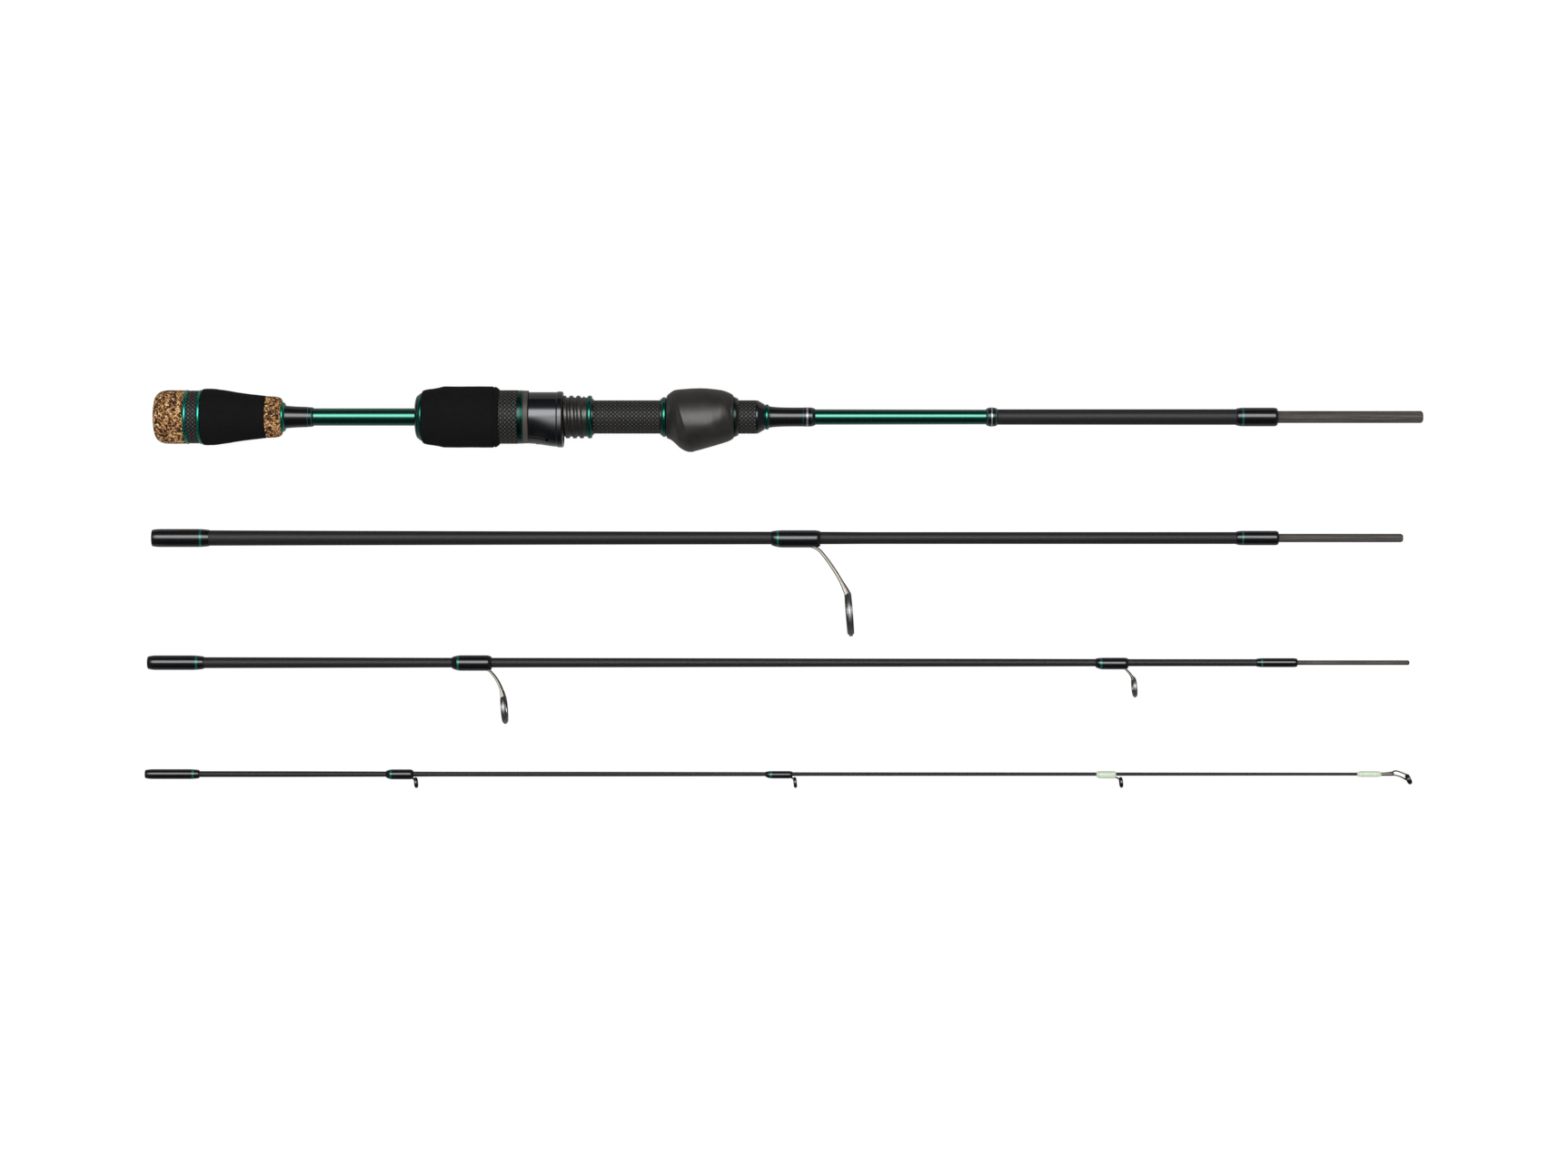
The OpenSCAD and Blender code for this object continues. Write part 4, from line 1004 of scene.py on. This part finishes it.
def add_guide_wrap(sh, g, band_shell=None, seg=88):
    """A winding over a guide foot: round on the blank's side, fuller where the foot lies."""
    G, k = GUIDES[g], GUIDE_SEC[g]
    x0, x1, R, off = G[0], G[1], G[2], G[3]
    th = angles(seg)
    n = int((x1 - x0) / 0.2)
    e0, e1 = (x1 - x0) * 0.24, (x1 - x0) * 0.13
    st, prof = [(x0, chart_r(k, x0) - 0.05)], []
    down = np.clip(-np.cos(th), 0, 1)
    for i in range(n + 1):
        x = x0 + (x1 - x0) * i / n
        a = chart_r(k, x) + 0.01
        t, u = min(1.0, (x - x0) / e0), min(1.0, (x1 - x) / e1)
        f = 0.22 + 0.78 * math.sin(math.pi / 2 * t) ** 0.8
        h = 0.30 + 0.70 * math.sin(math.pi / 2 * u) ** 0.7
        e = min(f, h)
        full = off * np.cos(th) + np.sqrt(R * R - (off * np.sin(th)) ** 2) - a
        upper = (R + off) - a                   # height over the blank on the far side from the foot
        # the resin fillet at the leg's root stays full on the foot's side
        e_low = min(f, 0.55 + 0.45 * math.sin(math.pi / 2 * u) ** 0.7)
        r = a + full * (e * (1 - down ** 1.5) + e_low * down ** 1.5)
        st.append((x, r))
        prof.append((x, a + upper * e))
    st.append((x1, chart_r(k, x1) - 0.05))
    sh.turned(st, seg)
    if band_shell is not None:
        w = 0.42
        xs = [G[4] - w, G[4] - w * 0.5, G[4], G[4] + w * 0.5, G[4] + w]
        rows = [(x, r) for x, r in st[1:-1]]
        X = np.array([r[0] for r in rows])
        stb = [(xs[0], chart_r(k, xs[0]))]
        for x in xs:
            i = int(np.clip(np.searchsorted(X, x), 1, len(X) - 1))
            q = (x - X[i - 1]) / (X[i] - X[i - 1])
            stb.append((x, rows[i - 1][1] * (1 - q) + rows[i][1] * q + 0.018))
        stb.append((xs[-1], chart_r(k, xs[-1])))
        band_shell.turned(stb, seg)
    return prof


# ------------------------------------------------------------------ guides
def tilt_place(cx, cy, deg):
    c, s = math.cos(math.radians(deg)), math.sin(math.radians(deg))

    def place(P):
        return np.stack([cx + P[:, 0] * c - P[:, 1] * s, cy + P[:, 0] * s + P[:, 1] * c, P[:, 2]], 1)
    return place


def add_guide_frame(sh, g, hoop=None):
    G, k = GUIDES[g], GUIDE_SEC[g]
    x0, x1, R, off, band, fx, fy, cx, cy, hr, tilt, hw, wall, lr, iw, fw, leg = G
    place = tilt_place(cx, cy, tilt)
    # hoop: a rolled strip with soft edges and a slightly dished face
    ri = hr - wall
    seg = 96 if g <= 3 else 64
    w = hw / 2
    (sh if hoop is None else hoop).turned(
        fillet([(-w, ri, 0.06), (-w, hr - 0.12 * wall, wall * 0.4), (-w * 0.45, hr, wall * 0.3), (w * 0.45, hr, wall * 0.3),
                (w, hr - 0.12 * wall, wall * 0.4), (w, ri, 0.06)], 4), seg, place=place)
    # foot under the winding, then the two legs
    br = chart_r(k, x0 + 4) + 0.03
    f0 = x0 + (x1 - x0) * 0.3
    n = 14
    C, U, W, T = [], [], [], []
    for i in range(n + 1):
        t = i / n
        x = f0 + (fx + 0.3 - f0) * t
        C.append((x, -br - 0.24, 0))
        U.append((0, 0, 1))
        W.append(fw * (0.35 + 0.65 * min(1, t * 2.2)))
        T.append(0.2 + 0.26 * min(1, t * 2.2))
    sh.swept(C, U, W, T, 12)
    # where the foot turns down into the legs: each leg leaves the foot on its own
    small = g > 3
    th0 = math.radians(tilt)
    rm = hr - wall * 0.5
    for s in (-1, 1):
        a = np.array([fx, min(fy, -br - lr - 0.02), s * (fw / 2 - lr)])
        la = math.radians(leg)
        b = np.array([cx - math.sin(th0) * rm * math.cos(la), cy + math.cos(th0) * rm * math.cos(la), s * rm * math.sin(la)])
        # the leg leaves the foot level, bends down, runs with a slight bow and lands along the hoop
        span = np.linalg.norm(b - a)
        bow = {1: 0.035, 2: 0.085, 3: 0.06}.get(g, 0.04) * span
        corner = a + np.array([1.15 if g == 1 else 0.25 if not small else 0.1, -0.05, 0.0])
        d = (b - corner) / np.linalg.norm(b - corner)
        out = np.array([-d[1], d[0], 0.0])
        out = out / np.linalg.norm(out)
        path = [a + np.array([-1.3 if not small else -0.5, 0.12, -0.04 * s]), a + np.array([-0.5 if not small else -0.2, 0.04, 0.0])]
        m = 24 if not small else 12
        for i in range(1, m + 1):
            t = i / m
            path.append(corner + (b - corner) * t + out * 4 * bow * t * (1 - t))
        C = np.array(path)
        for _ in range(3):
            C[1:-1] = (C[:-2] + 2 * C[1:-1] + C[2:]) / 4
        U, W, T = [], [], []
        for i in range(len(C)):
            t = i / (len(C) - 1)
            U.append((0.8, 0.5, -0.25))
            W.append(lr * 2 * (0.95 + 0.25 * t + 0.75 * float(smoothstep(0.72, 1.0, t))))
            T.append(lr * (1.15 - 0.25 * t))
        sh.swept(C, U, W, T, 16, 2.5)
    if not small:
        # cross web between the legs near the hoop, as on a stamped frame
        la = math.radians(leg)
        m = 16
        C, U, W, T = [], [], [], []
        for i in range(m + 1):
            a2 = -la + 2 * la * i / m
            C.append((cx - math.sin(th0) * (rm + 0.15) * math.cos(a2) - 0.05, cy + math.cos(th0) * (rm + 0.15) * math.cos(a2), (rm + 0.15) * math.sin(a2)))
            U.append((1, 0.1, 0))
            W.append(hw * 1.15)
            T.append(wall * 1.1)
        sh.swept(C, U, W, T, 10, 3.0)


def add_guide_ring(sh, g, wall):
    G = GUIDES[g]
    cx, cy, hr, tilt, hwall, iw = G[7], G[8], G[9], G[10], G[12], G[14]
    ro = hr - hwall - 0.02
    ri = ro - wall
    w = iw / 2
    place = tilt_place(cx, cy, tilt)
    # polished torus-like ring: round inside, small flanges either side of the hoop
    prof = []
    for i in range(13):
        a = math.pi * i / 12
        prof.append((w * math.cos(a) * 1.0, ri + wall * 0.62 * (1 - math.sin(a)) ** 1.0))
    prof = prof[::-1]
    outer = [(w * 0.98, ro - wall * 0.12), (w * 0.8, ro + 0.10 * hwall), (w * 0.55, ro), (-w * 0.55, ro), (-w * 0.8, ro + 0.10 * hwall),
             (-w * 0.98, ro - wall * 0.12)]
    sh.turned([(x, r) for x, r in prof] + fillet([(p[0], p[1], 0.08) for p in outer], 3), 96 if g <= 3 else 64, place=place)


def build_sections():
    # section 2
    Shell().turned([(0.0, 2.36)] + blank_shell(2, 0.0, 434.7, 2.36)[1:-1] + [(434.7, 1.66), (72.0, 1.66), (60.0, 2.36)], 72).piece(
        "blank_two", 2, BLANK, node="blank_2", slot="matte_blank")
    sh, bd = Shell(), Shell()
    p = add_wrap(sh, 2, 0.05, 22.0, 3.5, 3.2, 5.0, 96)
    add_band(bd, p, 18.9, 0.42, seg=96)
    p = add_wrap(sh, 2, 418.4, 434.68, 2.79, 2.6, 1.2)
    add_band(bd, p, 420.9, 0.36)
    sh.piece("ferrule_windings_two", 2, WRAP, node=("ferrule_wrap_2_rear", "ferrule_wrap_2_front"), slot="thread_wrap")
    gw = Shell()
    add_guide_wrap(gw, 1, bd)
    gw.piece("guide_one_winding", 2, WRAP, node="guide_1_wrap", slot="thread_wrap")
    bd.piece("green_bands_two", 2, GREEN_THREAD, node="trim_bands_2", slot="green_metal")
    Shell().turned([(388.0, 0.0), (388.0, 1.64)] + resample([(388.2, 1.64), (481.9, 1.64)], 6.0) +
                   fillet([(482.0, 1.64, 0.1), (482.75, 1.22, 0.1), (482.8, 0.0)], 3, closed=False) + [(482.8, 0.0)], 64, closed=False).piece(
        "spigot_two", 2, GRAPHITE, node="spigot_2", slot="graphite")
    sh, hp = Shell(), Shell()
    add_guide_frame(sh, 1, hp)
    sh.piece("guide_one_legs", 2, STEEL, node="guide_1_frame", slot="guide_steel", sharp=50)
    hp.piece("guide_one_hoop", 2, HOOP, node="guide_1_frame", slot="guide_steel", sharp=50)
    sh = Shell(); add_guide_ring(sh, 1, 0.85)
    sh.piece("guide_one_ring", 2, RING, node="guide_1_ring", slot="guide_ring", sharp=50)
    # section 3
    Shell().turned([(0.0, 1.67)] + blank_shell(3, 0.0, 444.6, 1.67)[1:-1] + [(444.6, 0.935), (62.0, 0.935), (52.0, 1.67)], 64).piece(
        "blank_three", 3, BLANK, node="blank_3", slot="matte_blank")
    sh, bd = Shell(), Shell()
    p = add_wrap(sh, 3, 0.05, 21.8, 2.84, 3.2, 5.0, 88)
    add_band(bd, p, 19.0, 0.42, seg=88)
    p = add_wrap(sh, 3, 428.8, 444.58, 1.76, 2.6, 1.4)
    add_band(bd, p, 430.9, 0.34)
    sh.piece("ferrule_windings_three", 3, WRAP, node="ferrule_wraps_3", slot="thread_wrap")
    gw = Shell()
    add_guide_wrap(gw, 2, bd)
    add_guide_wrap(gw, 3, bd)
    gw.piece("guide_windings_three", 3, WRAP, node="guide_wraps_3", slot="thread_wrap")
    bd.piece("green_bands_three", 3, GREEN_THREAD, node="trim_bands_3", slot="green_metal")
    Shell().turned([(400.0, 0.0), (400.0, 0.915)] + resample([(400.2, 0.915), (487.2, 0.915)], 6.0) +
                   fillet([(487.4, 0.915, 0.1), (487.95, 0.66, 0.08), (488.0, 0.0)], 3, closed=False) + [(488.0, 0.0)], 48, closed=False).piece(
        "spigot_three", 3, GRAPHITE, node="spigot_3", slot="graphite")
    for g, name, wall in ((2, "guide_two", 0.65), (3, "guide_three", 0.5)):
        sh, hp = Shell(), Shell()
        add_guide_frame(sh, g, hp)
        sh.piece(name + "_legs", 3, STEEL, node=f"guide_{g}_frame", slot="guide_steel", sharp=50)
        hp.piece(name + "_hoop", 3, HOOP, node=f"guide_{g}_frame", slot="guide_steel", sharp=50)
        sh = Shell(); add_guide_ring(sh, g, wall)
        sh.piece(name + "_ring", 3, RING, node=f"guide_{g}_ring", slot="guide_ring", sharp=50)
    # section 4
    Shell().turned([(0.0, 0.945)] + blank_shell(4, 0.0, 482.5, 0.945)[1:-1] + [(482.5, 0.0), (46.0, 0.0), (46.0, 0.945)], 56, closed=False).piece(
        "blank_four", 4, BLANK, node="blank_4", slot="matte_blank")
    sh, bd = Shell(), Shell()
    p = add_wrap(sh, 4, 0.05, 21.0, 1.92, 3.0, 4.0, 80)
    add_band(bd, p, 18.6, 0.4, seg=80)
    sh.piece("socket_winding_four", 4, WRAP, node="socket_wrap_4", slot="thread_wrap")
    gw = Shell()
    add_guide_wrap(gw, 4, bd, 72)
    add_guide_wrap(gw, 5, bd, 72)
    gw.piece("guide_windings_four", 4, WRAP, node="guide_wraps_4", slot="thread_wrap")
    bd.piece("green_bands_four", 4, GREEN_THREAD, node="trim_bands_4", slot="green_metal")
    gl = Shell()
    add_guide_wrap(gl, 6, None, 72)
    add_wrap(gl, 4, 469.9, 479.2, 1.12, 2.0, 1.6, 64)
    gl.piece("pale_windings", 4, GLOW, node="glow_wraps", slot="glow_wrap")
    fr, rg = Shell(), Shell()
    for g in (4, 5, 6):
        add_guide_frame(fr, g)
        add_guide_ring(rg, g, 0.35)
    fr.piece("small_frames", 4, STEEL_SMALL, node="small_guide_frames", slot="guide_steel", sharp=50)
    rg.piece("small_rings", 4, RING_DARK, node="small_guide_rings", slot="guide_ring", sharp=50)
    build_tip()


def build_tip():
    cx, cy, tilt, hr = 489.9, -2.0, 24, 2.1
    place = tilt_place(cx, cy, tilt)
    sh = Shell()
    sh.turned(fillet([(474.2, 0.6), (474.2, 0.66, 0.03), (483.6, 0.67, 0.3), (484.2, 0.45, 0.2), (484.2, 0.0), (482.6, 0.0), (482.6, 0.6)], 4,
                     closed=True)[0:], 48)
    sh.piece("tip_tube", 4, STEEL, node="tip_top_frame", slot="guide_steel", sharp=50)
    sh = Shell()
    ri = hr - 0.32
    sh.turned(fillet([(-0.5, ri, 0.05), (-0.5, hr, 0.16), (0.5, hr, 0.16), (0.5, ri, 0.05)], 4), 72, place=place)
    for s in (-1, 1):
        for path, w in (
            ([(481.0, 0.45, s * 0.3), (483.3, 0.72, s * 0.34), (484.9, 1.25, s * 0.45), (486.8, 0.75, s * 0.9), (489.0, -0.15, s * 1.35)], 0.50),
            ([(481.5, -0.30, s * 0.3), (483.6, -0.34, s * 0.32), (485.2, -0.52, s * 0.5), (487.2, -1.2, s * 1.1), (489.2, -2.3, s * 1.9)], 0.48)):
            P = [np.array(p, float) for p in path]
            P = [2 * P[0] - P[1]] + P + [2 * P[-1] - P[-2]]
            C = []
            for i in range(1, len(P) - 2):
                for j in range(7):
                    t = j / 7
                    a, b, c, d = P[i - 1], P[i], P[i + 1], P[i + 2]
                    C.append(0.5 * (2 * b + (c - a) * t + (2 * a - 5 * b + 4 * c - d) * t * t + (3 * b - a - 3 * c + d) * t ** 3))
            C.append(np.array(path[-1], float))
            n = len(C)
            sh.swept(C, [(0, 1, 0)] * n, [w] * n, [w * 0.9] * n, 10, 2.4)
    sh.piece("tip_arms", 4, STEEL_DARK, node="tip_top_frame", slot="guide_steel", sharp=50)
    ro = hr - 0.34
    prof = []
    for i in range(13):
        a = math.pi * i / 12
        prof.append((-0.78 * math.cos(a), ro - 0.42 + 0.3 * (1 - math.sin(a))))
    Shell().turned([(x, r) for x, r in prof] + [(0.72, ro), (0.5, ro + 0.02), (-0.5, ro + 0.02), (-0.72, ro)], 72, place=place).piece(
        "tip_ring", 4, RING_DARK, node="tip_top_ring", slot="guide_ring", sharp=50)


def build_ferrule_1():
    sh, bd = Shell(), Shell()
    p = add_wrap(sh, 1, 417.2, 432.98, 3.6, 2.6, 1.3, 96)
    add_band(bd, p, 419.6, 0.38, seg=96)
    sh.piece("ferrule_winding_one", 1, WRAP, node="ferrule_wrap_1", slot="thread_wrap")
    bd.piece("green_band_one", 1, GREEN_THREAD, node="trim_band_1", slot="green_metal")
    Shell().turned([(385.0, 0.0), (385.0, 2.33)] + resample([(385.2, 2.33), (488.2, 2.33)], 5.0) +
                   fillet([(488.4, 2.33, 0.12), (489.05, 1.75, 0.1), (489.1, 0.0)], 3, closed=False) + [(489.1, 0.0)], 88, closed=False).piece(
        "spigot_one", 1, GRAPHITE, node="spigot_1", slot="graphite")


build_handle()
build_blank_1()
build_seat()
build_foregrip()
build_hood()
build_nut()
build_ferrule_1()
build_sections()

# CAD pieces that stay as they are, inside the handle
for n, mat, sl in (("seat_arbors", ARBOR, "arbor"), ("nut_insert", SEAT, "seat_plastic")):
    NODES[n].data.materials.clear()
    NODES[n].data.materials.append(mat)

# ------------------------------------------------------------------ floor, light, camera
def build_floor():
    me = bpy.data.meshes.new("floor")
    a = 3.2
    me.from_pydata([(-a, -a, FLOOR_Z), (a, -a, FLOOR_Z), (a, a, FLOOR_Z), (-a, a, FLOOR_Z)], [], [[0, 1, 2, 3]])
    m = bpy.data.materials.new("floor")
    m.use_nodes = True
    t = m.node_tree
    t.nodes.clear()
    out = t.nodes.new("ShaderNodeOutputMaterial")
    dif = t.nodes.new("ShaderNodeBsdfDiffuse")
    dif.inputs[0].default_value = (0.10, 0.10, 0.10, 1)
    em = t.nodes.new("ShaderNodeEmission")
    em.inputs[0].default_value = (1.0, 1.0, 0.998, 1)
    lp = t.nodes.new("ShaderNodeLightPath")
    lvl = t.nodes.new("ShaderNodeMapRange")
    t.links.new(lp.outputs["Is Camera Ray"], lvl.inputs[0])
    lvl.inputs[3].default_value, lvl.inputs[4].default_value = 0.24, 0.94
    t.links.new(lvl.outputs[0], em.inputs[1])
    add = t.nodes.new("ShaderNodeAddShader")
    t.links.new(dif.outputs[0], add.inputs[0])
    t.links.new(em.outputs[0], add.inputs[1])
    geo = t.nodes.new("ShaderNodeNewGeometry")
    tr = t.nodes.new("ShaderNodeBsdfTransparent")
    mix = t.nodes.new("ShaderNodeMixShader")
    t.links.new(geo.outputs["Backfacing"], mix.inputs[0])
    t.links.new(add.outputs[0], mix.inputs[1])
    t.links.new(tr.outputs[0], mix.inputs[2])
    t.links.new(mix.outputs[0], out.inputs[0])
    try:
        m.cycles.emission_sampling = "NONE"
    except Exception:
        pass
    me.materials.append(m)
    o = bpy.data.objects.new("floor", me)
    bpy.context.scene.collection.objects.link(o)


def build_world():
    """A studio sky: a long softbox over the rods, dim walls, plain pale backdrop."""
    w = bpy.data.worlds.new("studio")
    bpy.context.scene.world = w
    w.use_nodes = True
    t = w.node_tree
    t.nodes.clear()
    out = t.nodes.new("ShaderNodeOutputWorld")

    def node(kind, **kw):
        n = t.nodes.new(kind)
        for k, v in kw.items():
            setattr(n, k, v)
        return n

    def m(op, a, b=None, c=None, clamp=False):
        n = node("ShaderNodeMath", operation=op, use_clamp=clamp)
        for s, v in zip(n.inputs, (a, b, c)):
            if v is None:
                continue
            if isinstance(v, bpy.types.NodeSocket):
                t.links.new(v, s)
            else:
                s.default_value = v
        return n.outputs[0]

    tc = node("ShaderNodeTexCoord")
    sep = node("ShaderNodeSeparateXYZ")
    t.links.new(tc.outputs["Generated"], sep.inputs[0])
    x, y, z = sep.outputs
    phi = m("ARCTAN2", y, z)                       # 0 straight up, positive towards +Y
    deg = m("MULTIPLY", phi, 180 / math.pi)

    def band(v, a0, a1, b0, b1):
        """1 between a1 and b0, soft from a0 and to b1."""
        r1 = node("ShaderNodeMapRange", interpolation_type="SMOOTHSTEP")
        r2 = node("ShaderNodeMapRange", interpolation_type="SMOOTHSTEP")
        t.links.new(v, r1.inputs[0]); t.links.new(v, r2.inputs[0])
        for n, p, q in ((r1, a0, a1), (r2, b0, b1)):
            n.inputs[1].default_value, n.inputs[2].default_value = p, q
            n.inputs[3].default_value, n.inputs[4].default_value = 0.0, 1.0
        return m("MULTIPLY", r1.outputs[0], m("SUBTRACT", 1.0, r2.outputs[0]))

    ends = band(x, -0.52, -0.27, 0.27, 0.52)
    table = [(-180, 0.22), (-112, 0.22), (-98, 0.05), (-60, 0.03), (-44, 0.04), (-30, 0.07), (-20, 0.15), (-12, 0.36),
             (-6, 0.95), (-1, 2.3), (4, 4.7), (9, 5.9), (26, 5.9), (31, 4.0), (36, 1.3), (42, 0.32), (52, 0.12), (70, 0.06),
             (95, 0.05), (180, 0.05)]
    top = 10.0
    ramp = node("ShaderNodeValToRGB")
    el = ramp.color_ramp.elements
    while len(el) < len(table):
        el.new(0.5)
    for e, (d, v) in zip(el, table):
        e.position = (d + 180) / 360
        e.color = (v / top, v / top, v / top, 1)
    t.links.new(m("MULTIPLY_ADD", deg, 1 / 360, 0.5), ramp.inputs[0])
    level = m("MULTIPLY", ramp.outputs[0], top)
    total = m("ADD", m("MULTIPLY", level, ends), m("MULTIPLY", m("SUBTRACT", 1.0, ends), 0.12))
    glossy = node("ShaderNodeBackground")
    glossy.inputs[0].default_value = (0.94, 0.97, 1.0, 1)
    t.links.new(total, glossy.inputs[1])
    soft = node("ShaderNodeBackground")
    soft.inputs[0].default_value = (1, 1, 1, 1)
    t.links.new(m("MULTIPLY_ADD", m("MAXIMUM", z, 0.0), 0.75, 0.45), soft.inputs[1])
    back = node("ShaderNodeBackground")
    back.inputs[0].default_value = (0.97, 0.975, 0.98, 1)
    back.inputs[1].default_value = 1.0
    lp = node("ShaderNodeLightPath")
    m1, m2 = node("ShaderNodeMixShader"), node("ShaderNodeMixShader")
    t.links.new(lp.outputs["Is Glossy Ray"], m1.inputs[0])
    t.links.new(soft.outputs[0], m1.inputs[1])
    t.links.new(glossy.outputs[0], m1.inputs[2])
    t.links.new(lp.outputs["Is Camera Ray"], m2.inputs[0])
    t.links.new(m1.outputs[0], m2.inputs[1])
    t.links.new(back.outputs[0], m2.inputs[2])
    t.links.new(m2.outputs[0], out.inputs[0])
    try:
        w.cycles.sampling_method = "NONE"
    except Exception:
        pass


def build_lights():
    l = bpy.data.lights.new("overhead", "AREA")
    l.shape, l.size, l.size_y, l.energy = "RECTANGLE", 2.2, 1.2, 3.0
    o = bpy.data.objects.new("overhead", l)
    bpy.context.scene.collection.objects.link(o)
    o.location = (0.25, 0.35, 1.9)
    o.rotation_euler = (math.radians(-12), 0, 0)
    o.visible_glossy = False
    o.visible_camera = False


def build_camera():
    cam = bpy.data.cameras.new("camera")
    cam.sensor_width = 36.0
    cam.lens = 88.2
    cam.clip_start, cam.clip_end = 0.05, 20
    o = bpy.data.objects.new("camera", cam)
    bpy.context.scene.collection.objects.link(o)
    o.location = (0.2430, -0.0659, 1.480)
    o.rotation_euler = (0, 0, 0)
    bpy.context.scene.camera = o


build_floor()
build_world()
build_lights()
build_camera()
bpy.context.scene.view_settings.view_transform = "Standard"
